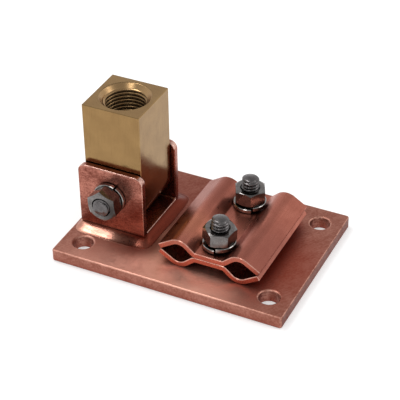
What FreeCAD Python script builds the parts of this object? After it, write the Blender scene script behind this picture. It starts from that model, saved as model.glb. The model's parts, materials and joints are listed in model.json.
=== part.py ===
import FreeCAD, Part
import math
import os
import re

import Sketcher

# Air terminal base: a copper base plate, a U-shaped swivel bracket brazed to it, a brass
# rod socket that swings between the bracket's ears, and a two-plate conductor clamp.
# Row frame: X runs along the plate from the bracket to the clamp, Y runs to the back,
# Z is up, and the origin is the middle of the plate's underside. Lengths are in mm.

PLATE_SIZES = (
    ("plate_length", 88.9, "base plate along X, 3.5 in"),
    ("plate_width", 63.5, "base plate along Y, 2.5 in"),
    ("plate_thickness", 4.7625, "base plate, 3/16 in bar"),
    ("plate_corner_radius", 1.0, "plate corners seen from above"),
    ("plate_edge_round", 0.5, "plate's top and bottom edges"),
    ("mount_inset_x", 8.25, "mounting hole's middle from the plate's short end"),
    ("mount_inset_y", 8.6, "mounting hole's middle from the plate's long side"),
    ("mount_hole_dia", 7.14, "mounting holes, 9/32 in"),
    ("mount_rim_round", 0.85, "rolled rim of a mounting hole"),
)
BRACKET_SIZES = (
    ("pivot_inset_x", 15.15, "pivot axis from the plate's left end"),
    ("pivot_height", 20.7, "pivot axis above the plate's underside"),
    ("strip_thickness", 2.38125, "bracket strip, 3/32 in"),
    ("strip_width", 25.8, "bracket strip along X"),
    ("ear_inner_half", 11.5, "pivot bracket's middle to an ear's inner face"),
    ("ear_top_height", 31.5, "top of the ears above the plate's underside"),
    ("bend_outer_radius", 3.1, "outside of the bracket's two bends"),
    ("ear_corner_radius", 3.0, "top corners of the ears"),
    ("strip_edge_round", 0.4, "polished edge of the strip"),
    ("ear_hole_dia", 6.75, "bolt hole in an ear"),
)
BEAD_SIZES = (
    ("bead_reach_ends", 4.8, "braze from an ear's outer face along Y"),
    ("bead_reach_right", 3.6, "braze beyond the foot's right edge"),
    ("bead_reach_left", 1.8, "braze beyond the foot's left edge"),
    ("bead_corner_radius", 4.0, "corner of the braze on the plate"),
    ("bead_crest_height", 2.44, "top of the braze above the plate"),
    ("bead_waist_height", 1.2, "second level of the braze"),
    ("bead_shoulder_height", 2.0, "third level of the braze"),
    ("bead_waist_share", 0.88, "reach left at the second level"),
    ("bead_shoulder_share", 0.6, "reach left at the third level"),
    ("bead_crest_share", 0.22, "reach left at the top"),
    ("bead_gap", 0.1, "clearance under the strip's bends"),
)
SOCKET_SIZES = (
    ("socket_side", 22.4, "rod socket, square across the flats"),
    ("socket_top_height", 54.9, "top of the socket above the plate's underside"),
    ("socket_end_radius", 13.2, "rounded lower end about the pivot"),
    ("socket_shoulder_radius", 10.0, "arc between lower end and side"),
    ("socket_edge_break", 0.25, "bevel of the socket's edges"),
    ("rod_thread_dia", 15.875, "rod thread across its crests, 5/8 in"),
    ("rod_thread_depth", 22.0, "straight part of the threaded hole"),
    ("rod_drill_angle", 118.0, "drill point of the threaded hole"),
    ("rod_mouth_dia", 19.0, "mouth chamfer of the threaded hole"),
    ("rod_mouth_angle", 90.0, "mouth chamfer, full angle"),
    ("pivot_running_fit", 0.08, "radial clearance of bolt and socket"),
)
CLAMP_SIZES = (
    ("pivot_to_clamp", 41.7, "pivot axis to the clamp's middle along X"),
    ("clamp_length", 42.4, "clamp plates along Y"),
    ("clamp_sheet", 2.0, "clamp plate thickness, 5/64 in"),
    ("clamp_rise", 3.65, "channel depth inside a clamp plate"),
    ("web_flat_half", 5.0, "half of the flat middle strip"),
    ("web_bend_radius", 0.8, "tight side of the bend beside the strip"),
    ("channel_reach", 11.55, "clamp's middle to a channel's middle"),
    ("channel_radius", 3.5, "inside radius of a channel"),
    ("lip_reach", 18.4, "clamp's middle to a lip's inner corner"),
    ("clamp_edge_break", 0.25, "bevelled edges of the clamp plates"),
    ("clamp_hole_dia", 7.9375, "screw holes in the clamp plates, 5/16 in"),
    ("screw_spacing", 26.6, "clamp screws along Y"),
)
FASTENER_SIZES = (
    ("bolt_dia", 6.35, "1/4 in bolt and screws"),
    ("bolt_tip_dia", 4.7, "chamfered end of the thread"),
    ("bolt_tip_length", 0.8, "length of the chamfered end"),
    ("nut_flats", 10.5, "hexagon across flats"),
    ("nut_height", 5.2, "hexagon nut"),
    ("nut_thread_fit", 0.05, "radial clearance of nut and thread"),
    ("nut_face_dia", 10.2, "round face left by the corner chamfer"),
    ("nut_chamfer_angle", 30.0, "slope of the corner chamfer"),
    ("nut_mouth_break", 0.45, "chamfer of the nut's threaded hole"),
    ("washer_outer_dia", 12.0, "spring washer"),
    ("washer_inner_dia", 6.8, "spring washer"),
    ("washer_thickness", 1.6, "spring washer"),
    ("washer_split_angle", 7.0, "part of the ring left open at the split"),
    ("washer_edge_break", 0.2, "bevelled rims of the spring washer"),
    ("clamp_washer_rise", 0.8, "step between a clamp washer's two ends"),
    ("front_washer_perch", 0.29, "front clamp washer above the middle strip, on a bend"),
    ("rear_washer_perch", 0.02, "rear clamp washer above the middle strip"),
    ("clamp_nut_gap", 0.12, "leaning nut above its washer's high end"),
    ("pivot_washer_rise", 0.2, "step between the pivot washer's two ends"),
    ("washer_seat_gap", 0.01, "spring washer from the faces beside it"),
    ("hex_head_height", 4.1, "head of the pivot bolt"),
    ("pivot_bolt_reach", 22.8, "pivot bolt's end in front of the socket's middle"),
    ("flush_head_dia", 12.0, "countersunk head of a clamp screw"),
    ("flush_head_land", 0.3, "straight rim of the countersunk head"),
    ("flush_head_angle", 82.0, "cone of the countersunk head"),
    ("flush_head_inset", 0.4, "head's depth inside the plate's underside"),
    ("flush_seat_dia", 13.8, "countersink in the plate"),
    ("flush_slot_width", 1.5, "driver slot of a clamp screw"),
    ("flush_slot_depth", 1.3, "driver slot of a clamp screw"),
    ("clamp_screw_top", 24.8, "tip of a clamp screw above the plate's underside"),
    ("front_screw_lean", 2.5, "front clamp screw out of upright, towards the right"),
    ("rear_screw_lean", 1.0, "rear clamp screw out of upright, towards the right"),
    ("cut_overrun", 0.5, "how far a cut runs past the face it leaves"),
)
# Turn of each nut and washer about its own screw, in degrees.
TURNS = {
    "clamp_nut_front": -8.0,
    "clamp_nut_rear": 26.0,
    "clamp_spring_washer_front": -84.0,
    "clamp_spring_washer_rear": -62.0,
    "pivot_nut": 8.0,
    "pivot_spring_washer": 60.0,
}
FULL_TURN = 360.0
HALF_TURN = FULL_TURN / 2
QUARTER_TURN = FULL_TURN / 4
HEXAGON_STEP = FULL_TURN / 6
NEAR = 1e-4

# The bracket keeps to the plate's left end, and the clamp keeps its distance from the pivot.
PIVOT_PLACE_X = "pivot_inset_x - plate_length / 2"
CLAMP_PLACE_X = "pivot_inset_x + pivot_to_clamp - plate_length / 2"

ORIGIN_POINT = (-1, 1)
FLAT_AXIS, UPRIGHT_AXIS = range(-1, -3, -1)
START, END, CENTRE = range(1, 4)

doc = FreeCAD.newDocument("AirTerminalBase")


def write_sheet(groups):
    """Write every size into the sheet and give its values by name.

    Args:
        groups: Tables of (alias, value, meaning).

    Returns:
        A dictionary from alias to value.
    """
    sheet = doc.addObject("Spreadsheet::Sheet", "Sizes")
    values = {}
    row = 1
    for group in groups:
        for alias, value, meaning in group:
            sheet.set(f"A{row}", meaning)
            sheet.set(f"B{row}", str(value))
            sheet.setAlias(f"B{row}", alias)
            values[alias] = value
            row += 1
    doc.recompute()
    return values


SIZE = write_sheet(
    (PLATE_SIZES, BRACKET_SIZES, BEAD_SIZES, SOCKET_SIZES, CLAMP_SIZES, FASTENER_SIZES)
)


def bind(item, prop, formula):
    """Tie a property to a formula written with the sheet's aliases.

    Args:
        item: The object that owns the property.
        prop: The property's name or path.
        formula: Aliases, numbers and functions; every alias has an underscore.
    """
    item.setExpression(prop, re.sub(r"[a-z]+(?:_[a-z]+)+", r"Sizes.\g<0>", formula))


def polar(centre, radius, degrees):
    """Give the point at a radius and angle around a centre, as (x, y)."""
    angle = math.radians(degrees)
    return (centre[0] + radius * math.cos(angle), centre[1] + radius * math.sin(angle))


class Drawing:
    """A sketch of one body: lines, arcs and circles whose sizes follow the sheet."""

    def __init__(self, body, name, plane_role, lift=None):
        """Lay an empty sketch on one of the body's own origin planes.

        Args:
            body: The body that owns the sketch.
            name: The sketch's name.
            plane_role: XY_Plane, XZ_Plane or YZ_Plane.
            lift: Formula for the sketch's distance from the plane, if any.
        """
        self.sketch = body.newObject("Sketcher::SketchObject", name)
        planes = [item for item in body.Origin.OriginFeatures if item.Role == plane_role]
        self.sketch.AttachmentSupport = (planes[0], "")
        self.sketch.MapMode = "FlatFace"
        if lift:
            bind(self.sketch, "AttachmentOffset.Base.z", lift)

    def line(self, start, end):
        """Draw a straight line and return its number."""
        edge = Part.LineSegment(FreeCAD.Vector(*start, 0), FreeCAD.Vector(*end, 0))
        return self.sketch.addGeometry(edge, False)

    def arc(self, centre, radius, first, last):
        """Draw an arc counterclockwise between two angles in degrees."""
        whole = Part.Circle(FreeCAD.Vector(*centre, 0), FreeCAD.Vector(0, 0, 1), radius)
        edge = Part.ArcOfCircle(whole, math.radians(first), math.radians(last))
        return self.sketch.addGeometry(edge, False)

    def circle(self, centre, radius, construction=False):
        """Draw a full circle and return its number."""
        whole = Part.Circle(FreeCAD.Vector(*centre, 0), FreeCAD.Vector(0, 0, 1), radius)
        return self.sketch.addGeometry(whole, construction)

    def rule(self, kind, *refs):
        """Add a geometric constraint, such as Tangent, and return its number."""
        return self.sketch.addConstraint(Sketcher.Constraint(kind, *refs))

    def meet(self, first, second):
        """Join two end points with a corner."""
        self.rule("Coincident", *first, *second)

    def flow(self, first, second):
        """Join two end points so that one edge runs smoothly into the next."""
        self.rule("Tangent", *first, *second)

    def measure(self, kind, first, second, formula):
        """Set the distance from one point to another along an axis.

        Args:
            kind: DistanceX or DistanceY.
            first: The point with the smaller coordinate.
            second: The point with the larger coordinate.
            formula: The distance as a formula.
        """
        start = self.sketch.getPoint(*first)
        end = self.sketch.getPoint(*second)
        value = end.x - start.x if kind == "DistanceX" else end.y - start.y
        number = self.rule(kind, *first, *second, value)
        bind(self.sketch, f"Constraints[{number}]", formula)

    def radius(self, edge, formula):
        """Set an arc's or circle's radius by formula."""
        number = self.rule("Radius", edge, self.sketch.Geometry[edge].Radius)
        bind(self.sketch, f"Constraints[{number}]", formula)

    def locate(self, point, across, up):
        """Set a point's two coordinates by formula.

        Args:
            point: The point as (edge, position).
            across: Formula for the first coordinate's size, or None on the axis.
            up: Formula for the second coordinate's size, or None on the axis.
        """
        here = self.sketch.getPoint(*point)
        for kind, value, formula, axis in (
            ("DistanceX", here.x, across, UPRIGHT_AXIS),
            ("DistanceY", here.y, up, FLAT_AXIS),
        ):
            if formula is None:
                self.rule("PointOnObject", *point, axis)
            elif value > 0:
                self.measure(kind, ORIGIN_POINT, point, formula)
            else:
                self.measure(kind, point, ORIGIN_POINT, formula)

    def polygon(self, corners):
        """Draw a closed outline of straight lines; return the lines' numbers."""
        lines = [
            self.line(corner, corners[(index + 1) % len(corners)])
            for index, corner in enumerate(corners)
        ]
        for index, line in enumerate(lines):
            self.meet((line, END), (lines[(index + 1) % len(lines)], START))
        return lines

    def square_up(self, lines):
        """Keep every straight line that is level or upright that way."""
        for line in lines:
            edge = self.sketch.Geometry[line]
            if abs(edge.StartPoint.y - edge.EndPoint.y) < NEAR:
                self.rule("Horizontal", line)
            elif abs(edge.StartPoint.x - edge.EndPoint.x) < NEAR:
                self.rule("Vertical", line)

    def rectangle(self, left, right, front, back):
        """Draw a rectangle from four (coordinate, formula) sides."""
        corners = (
            (left[0], front[0]),
            (right[0], front[0]),
            (right[0], back[0]),
            (left[0], back[0]),
        )
        lines = self.polygon(corners)
        self.square_up(lines)
        self.locate((lines[0], START), left[1], front[1])
        self.locate((lines[2], START), right[1], back[1])
        return lines

    def rounded_rectangle(self, left, right, front, back, radius):
        """Draw a rectangle with equal corner arcs.

        Args:
            left: (coordinate, formula) of the left side; the others likewise.
            right: Right side.
            front: Side with the smallest second coordinate.
            back: Side with the largest second coordinate.
            radius: (value, formula) of the corners.
        """
        bend = radius[0]
        low_x, high_x, low_y, high_y = left[0], right[0], front[0], back[0]
        sides = (
            self.line((low_x + bend, low_y), (high_x - bend, low_y)),
            self.line((high_x, low_y + bend), (high_x, high_y - bend)),
            self.line((high_x - bend, high_y), (low_x + bend, high_y)),
            self.line((low_x, high_y - bend), (low_x, low_y + bend)),
        )
        centres = (
            (high_x - bend, low_y + bend),
            (high_x - bend, high_y - bend),
            (low_x + bend, high_y - bend),
            (low_x + bend, low_y + bend),
        )
        corners = [
            self.arc(centre, bend, QUARTER_TURN * (index - 1), QUARTER_TURN * index)
            for index, centre in enumerate(centres)
        ]
        for index, side in enumerate(sides):
            self.flow((side, END), (corners[index], START))
            self.flow((corners[index], END), (sides[(index + 1) % len(sides)], START))
        self.square_up(sides)
        for corner in corners[1:]:
            self.rule("Equal", corners[0], corner)
        self.radius(corners[0], radius[1])
        self.measure("DistanceY", (sides[0], START), ORIGIN_POINT, front[1])
        self.measure("DistanceX", ORIGIN_POINT, (sides[1], START), right[1])
        self.measure("DistanceY", ORIGIN_POINT, (sides[2], START), back[1])
        self.measure("DistanceX", (sides[3], START), ORIGIN_POINT, left[1])

    def hexagon(self):
        """Draw a hexagon about the origin with one flat facing the first axis."""
        half_step = HEXAGON_STEP / 2
        rim = SIZE["nut_flats"] / 2 / math.cos(math.radians(half_step))
        turns = (half_step * number for number in (-1, 1, 3, 5, 7, 9))
        corners = [polar((0, 0), rim, degrees) for degrees in turns]
        lines = self.polygon(corners)
        guide = self.circle((0, 0), rim, construction=True)
        self.rule("Coincident", guide, CENTRE, *ORIGIN_POINT)
        for line in lines:
            self.rule("PointOnObject", line, START, guide)
        for line in lines[1:]:
            self.rule("Equal", lines[0], line)
        self.rule("Vertical", lines[0])
        self.radius(guide, "nut_flats / 2 / cos(30)")


def new_body(label, place, turn=None):
    """Start a sub-part and put it in the row frame.

    Args:
        label: The sub-part's label, also its file name.
        place: Formulas for X, Y and Z.
        turn: Rotation of the sub-part, if any.

    Returns:
        The new body.
    """
    body = doc.addObject("PartDesign::Body", label)
    body.Label = label
    body.Placement = FreeCAD.Placement(FreeCAD.Vector(), turn or FreeCAD.Rotation())
    for axis, formula in zip("xyz", place):
        bind(body, f"Placement.Base.{axis}", formula)
    return body


def pad(body, drawing, formula, both_ways=False, reverse=False):
    """Grow a sketch into material.

    Args:
        body: The body that gets the material.
        drawing: The sketch's drawing.
        formula: The length.
        both_ways: Half of the length to each side of the sketch.
        reverse: Grow against the sketch's normal.

    Returns:
        The new feature.
    """
    feature = body.newObject("PartDesign::Pad", f"{drawing.sketch.Name}_pad")
    feature.Profile = drawing.sketch
    bind(feature, "Length", formula)
    if both_ways:
        feature.SideType = "Symmetric"
    feature.Reversed = reverse
    drawing.sketch.Visibility = False
    doc.recompute()
    return feature


def cut(body, drawing, formula, both_ways=False, reverse=False):
    """Cut a sketch out of the material and make sure that it removed some."""
    before = body.Shape.Volume
    feature = body.newObject("PartDesign::Pocket", f"{drawing.sketch.Name}_cut")
    feature.Profile = drawing.sketch
    bind(feature, "Length", formula)
    if both_ways:
        feature.SideType = "Symmetric"
    feature.Reversed = reverse
    drawing.sketch.Visibility = False
    doc.recompute()
    if body.Shape.Volume > before - NEAR:
        raise ValueError(f"{feature.Name} removed nothing")
    return feature


def turn_profile(body, drawing, kind):
    """Turn a profile about the sketch's upright axis, as material or as a cut."""
    feature = body.newObject(kind, f"{drawing.sketch.Name}_turned")
    feature.Profile = drawing.sketch
    feature.ReferenceAxis = (drawing.sketch, ["V_Axis"])
    feature.Angle = FULL_TURN
    drawing.sketch.Visibility = False
    doc.recompute()
    return feature


def soften(body, kind, name, wanted, formula):
    """Round or bevel the edges that pass a test.

    Args:
        body: The body to work on.
        kind: PartDesign::Fillet or PartDesign::Chamfer.
        name: The feature's name.
        wanted: Function from an edge to True or False.
        formula: The radius or the bevel's width.
    """
    base = body.Tip
    names = [
        f"Edge{index}"
        for index, edge in enumerate(base.Shape.Edges, start=1)
        if wanted(edge)
    ]
    feature = body.newObject(kind, name)
    feature.Base = (base, names)
    bind(feature, "Radius" if kind.endswith("Fillet") else "Size", formula)
    doc.recompute()
    return feature


def is_straight(edge):
    """Tell whether an edge is a straight line."""
    return edge.Curve.TypeId == "Part::GeomLine"


def runs_along(edge, axis):
    """Tell whether an edge is straight and parallel to an axis (0, 1 or 2)."""
    if not is_straight(edge):
        return False
    return abs(abs(edge.Curve.Direction[axis]) - 1) < NEAR


def lies_at(edge, axis, value):
    """Tell whether a whole edge lies in the plane at a value along an axis."""
    points = [edge.valueAt(p) for p in (edge.FirstParameter, edge.LastParameter)]
    points.append(edge.CenterOfMass)
    return all(abs(point[axis] - value) < NEAR for point in points)


def is_rim(edge, radius):
    """Tell whether an edge is a full circle of a radius."""
    return not is_straight(edge) and edge.isClosed() and abs(edge.Curve.Radius - radius) < NEAR


def make_base_plate():
    """Make the plate with four mounting holes and two countersunk screw holes."""
    body = new_body("base_plate", ("0", "0", "0"))
    half_x = SIZE["plate_length"] / 2
    half_y = SIZE["plate_width"] / 2
    outline = Drawing(body, "plate_outline", "XY_Plane")
    outline.rectangle(
        (-half_x, "plate_length / 2"),
        (half_x, "plate_length / 2"),
        (-half_y, "plate_width / 2"),
        (half_y, "plate_width / 2"),
    )
    pad(body, outline, "plate_thickness")
    soften(
        body,
        "PartDesign::Fillet",
        "plate_corners",
        lambda edge: runs_along(edge, 2),
        "plate_corner_radius",
    )
    soften(
        body,
        "PartDesign::Fillet",
        "plate_edges",
        lambda edge: not runs_along(edge, 2),
        "plate_edge_round",
    )

    holes = Drawing(body, "mount_holes", "XY_Plane")
    for x_sign in (-1, 1):
        for y_sign in (-1, 1):
            centre = (
                x_sign * (half_x - SIZE["mount_inset_x"]),
                y_sign * (half_y - SIZE["mount_inset_y"]),
            )
            ring = holes.circle(centre, SIZE["mount_hole_dia"] / 2)
            holes.radius(ring, "mount_hole_dia / 2")
            holes.locate(
                (ring, CENTRE), "plate_length / 2 - mount_inset_x", "plate_width / 2 - mount_inset_y"
            )
    cut(body, holes, "plate_thickness", reverse=True)
    soften(
        body,
        "PartDesign::Fillet",
        "mount_rims",
        lambda edge: is_rim(edge, SIZE["mount_hole_dia"] / 2)
        and lies_at(edge, 2, SIZE["plate_thickness"]),
        "mount_rim_round",
    )

    clamp_x = SIZE["pivot_inset_x"] + SIZE["pivot_to_clamp"] - half_x
    seats = Drawing(body, "screw_seats", "XY_Plane")
    for y_sign in (-1, 1):
        centre = (clamp_x, y_sign * SIZE["screw_spacing"] / 2)
        ring = seats.circle(centre, SIZE["clamp_hole_dia"] / 2)
        seats.radius(ring, "clamp_hole_dia / 2")
        seats.locate((ring, CENTRE), CLAMP_PLACE_X, "screw_spacing / 2")
    doc.recompute()
    before = body.Shape.Volume
    hole = body.newObject("PartDesign::Hole", "screw_seat_holes")
    hole.Profile = seats.sketch
    hole.DepthType = "ThroughAll"
    hole.HoleCutType = "Countersink"
    hole.Reversed = True
    bind(hole, "Diameter", "clamp_hole_dia")
    bind(hole, "HoleCutDiameter", "flush_seat_dia")
    bind(hole, "HoleCutCountersinkAngle", "flush_head_angle")
    seats.sketch.Visibility = False
    doc.recompute()
    if body.Shape.Volume > before - NEAR:
        raise ValueError("the countersinks removed nothing")
    return body


def make_swivel_bracket():
    """Make the strip that is bent into a U, with round-cornered ears and bolt holes."""
    body = new_body("swivel_bracket", (PIVOT_PLACE_X, "0", "plate_thickness"))
    inner = SIZE["ear_inner_half"]
    sheet = SIZE["strip_thickness"]
    outer = inner + sheet
    top = SIZE["ear_top_height"] - SIZE["plate_thickness"]
    outline = Drawing(body, "strip_outline", "YZ_Plane")
    lines = outline.polygon(
        (
            (-outer, 0.0),
            (outer, 0.0),
            (outer, top),
            (inner, top),
            (inner, sheet),
            (-inner, sheet),
            (-inner, top),
            (-outer, top),
        )
    )
    outline.square_up(lines)
    outline.locate((lines[0], START), "ear_inner_half + strip_thickness", None)
    outline.locate(
        (lines[2], START), "ear_inner_half + strip_thickness", "ear_top_height - plate_thickness"
    )
    outline.locate((lines[4], START), "ear_inner_half", "strip_thickness")
    outline.locate((lines[6], START), "ear_inner_half", "ear_top_height - plate_thickness")
    pad(body, outline, "strip_width", both_ways=True)
    soften(
        body,
        "PartDesign::Fillet",
        "inner_bends",
        lambda edge: runs_along(edge, 0) and lies_at(edge, 2, sheet),
        "bend_outer_radius - strip_thickness",
    )
    soften(
        body,
        "PartDesign::Fillet",
        "outer_bends",
        lambda edge: runs_along(edge, 0) and lies_at(edge, 2, 0.0),
        "bend_outer_radius",
    )
    soften(
        body,
        "PartDesign::Fillet",
        "ear_corners",
        lambda edge: runs_along(edge, 1) and lies_at(edge, 2, top),
        "ear_corner_radius",
    )

    def is_strip_edge(edge):
        """Pick the strip's outline and leave out the seams between smooth faces."""
        if runs_along(edge, 1):
            return abs(edge.CenterOfMass.y) < NEAR
        if runs_along(edge, 0):
            return lies_at(edge, 2, top)
        return True

    soften(body, "PartDesign::Fillet", "strip_edges", is_strip_edge, "strip_edge_round")
    hole = Drawing(body, "ear_holes", "XZ_Plane")
    ring = hole.circle((0, SIZE["pivot_height"] - SIZE["plate_thickness"]), SIZE["ear_hole_dia"] / 2)
    hole.radius(ring, "ear_hole_dia / 2")
    hole.locate((ring, CENTRE), None, "pivot_height - plate_thickness")
    cut(body, hole, "2 * (ear_inner_half + strip_thickness + cut_overrun)", both_ways=True)
    return body


def make_braze_fillet():
    """Make the ring of braze around the bracket's foot, with a rounded outer flank."""
    body = new_body("braze_fillet", (PIVOT_PLACE_X, "0", "plate_thickness"))
    half_x = SIZE["strip_width"] / 2
    half_y = SIZE["ear_inner_half"] + SIZE["strip_thickness"]
    sections = []
    for level in ("foot", "waist", "shoulder", "crest"):
        share = 1.0 if level == "foot" else SIZE[f"bead_{level}_share"]
        factor = "" if level == "foot" else f" * bead_{level}_share"
        lift = None if level == "foot" else f"bead_{level}_height"
        section = Drawing(body, f"bead_{level}", "XY_Plane", lift)
        ends = f"ear_inner_half + strip_thickness + bead_reach_ends{factor}"
        end = half_y + SIZE["bead_reach_ends"] * share
        section.rounded_rectangle(
            (-half_x - SIZE["bead_reach_left"] * share, f"strip_width / 2 + bead_reach_left{factor}"),
            (half_x + SIZE["bead_reach_right"] * share, f"strip_width / 2 + bead_reach_right{factor}"),
            (-end, ends),
            (end, ends),
            (SIZE["bead_corner_radius"] * share, f"bead_corner_radius{factor}"),
        )
        section.sketch.Visibility = False
        sections.append(section.sketch)
    doc.recompute()
    loft = body.newObject("PartDesign::AdditiveLoft", "bead_flank")
    loft.Profile = sections[0]
    loft.Sections = sections[1:]
    doc.recompute()

    gap = SIZE["bead_gap"]
    bend = SIZE["bend_outer_radius"]
    side = half_y + gap
    middle = half_y - bend
    top = SIZE["bead_crest_height"] + bend
    room = Drawing(body, "strip_room", "YZ_Plane")
    floor = room.line((-middle, -gap), (middle, -gap))
    back_bend = room.arc((middle, bend), bend + gap, -QUARTER_TURN, 0)
    back_wall = room.line((side, bend), (side, top))
    lid = room.line((side, top), (-side, top))
    front_wall = room.line((-side, top), (-side, bend))
    front_bend = room.arc((-middle, bend), bend + gap, HALF_TURN, HALF_TURN + QUARTER_TURN)
    room.flow((floor, END), (back_bend, START))
    room.flow((back_bend, END), (back_wall, START))
    room.meet((back_wall, END), (lid, START))
    room.meet((lid, END), (front_wall, START))
    room.flow((front_wall, END), (front_bend, START))
    room.flow((front_bend, END), (floor, START))
    room.square_up((floor, back_wall, lid, front_wall))
    room.rule("Equal", back_bend, front_bend)
    room.radius(back_bend, "bend_outer_radius + bead_gap")
    room.locate(
        (back_bend, CENTRE),
        "ear_inner_half + strip_thickness - bend_outer_radius",
        "bend_outer_radius",
    )
    room.measure(
        "DistanceX",
        (front_bend, CENTRE),
        ORIGIN_POINT,
        "ear_inner_half + strip_thickness - bend_outer_radius",
    )
    room.measure("DistanceY", ORIGIN_POINT, (lid, START), "bead_crest_height + bend_outer_radius")
    cut(body, room, "strip_width", both_ways=True)
    return body


def make_rod_socket():
    """Make the square socket with a rounded lower end, a threaded hole and a cross hole."""
    body = new_body("rod_socket", (PIVOT_PLACE_X, "0", "pivot_height"))
    half = SIZE["socket_side"] / 2
    top = SIZE["socket_top_height"] - SIZE["pivot_height"]
    end_radius = SIZE["socket_end_radius"]
    shoulder = SIZE["socket_shoulder_radius"]
    centre_x = half - shoulder
    drop = math.sqrt((end_radius - shoulder) ** 2 - centre_x**2)
    spread = math.degrees(math.atan2(centre_x, drop))
    spread_start = -QUARTER_TURN - spread
    spread_end = -QUARTER_TURN + spread
    outline = Drawing(body, "socket_outline", "XZ_Plane")
    end = outline.arc((0, 0), end_radius, spread_start, spread_end)
    right_arc = outline.arc((centre_x, -drop), shoulder, spread_end, 0)
    right_side = outline.line((half, -drop), (half, top))
    lid = outline.line((half, top), (-half, top))
    left_side = outline.line((-half, top), (-half, -drop))
    left_arc = outline.arc((-centre_x, -drop), shoulder, HALF_TURN, FULL_TURN + spread_start)
    outline.flow((end, END), (right_arc, START))
    outline.flow((right_arc, END), (right_side, START))
    outline.meet((right_side, END), (lid, START))
    outline.meet((lid, END), (left_side, START))
    outline.flow((left_side, END), (left_arc, START))
    outline.flow((left_arc, END), (end, START))
    outline.square_up((right_side, lid, left_side))
    outline.meet((end, CENTRE), ORIGIN_POINT)
    outline.radius(end, "socket_end_radius")
    outline.radius(right_arc, "socket_shoulder_radius")
    outline.rule("Equal", right_arc, left_arc)
    outline.locate((right_side, END), "socket_side / 2", "socket_top_height - pivot_height")
    outline.measure("DistanceX", (left_side, START), ORIGIN_POINT, "socket_side / 2")
    pad(body, outline, "socket_side", both_ways=True)
    soften(
        body,
        "PartDesign::Chamfer",
        "socket_edges",
        lambda edge: not runs_along(edge, 1) or lies_at(edge, 2, top),
        "socket_edge_break",
    )

    mouth = Drawing(body, "rod_mouth", "XY_Plane", "socket_top_height - pivot_height")
    ring = mouth.circle((0, 0), SIZE["rod_thread_dia"] / 2)
    mouth.radius(ring, "rod_thread_dia / 2")
    mouth.meet((ring, CENTRE), ORIGIN_POINT)
    doc.recompute()
    before = body.Shape.Volume
    hole = body.newObject("PartDesign::Hole", "rod_thread_hole")
    hole.Profile = mouth.sketch
    hole.DepthType = "Dimension"
    hole.HoleCutType = "Countersink"
    hole.DrillPoint = "Angled"
    bind(hole, "Diameter", "rod_thread_dia")
    bind(hole, "Depth", "rod_thread_depth")
    bind(hole, "DrillPointAngle", "rod_drill_angle")
    bind(hole, "HoleCutDiameter", "rod_mouth_dia")
    bind(hole, "HoleCutCountersinkAngle", "rod_mouth_angle")
    mouth.sketch.Visibility = False
    doc.recompute()
    if body.Shape.Volume > before - NEAR:
        raise ValueError("the threaded hole removed nothing")

    cross = Drawing(body, "pivot_hole", "XZ_Plane")
    ring = cross.circle((0, 0), SIZE["bolt_dia"] / 2 + SIZE["pivot_running_fit"])
    cross.radius(ring, "bolt_dia / 2 + pivot_running_fit")
    cross.meet((ring, CENTRE), ORIGIN_POINT)
    cut(body, cross, "socket_side + 2 * cut_overrun", both_ways=True)
    return body


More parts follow.
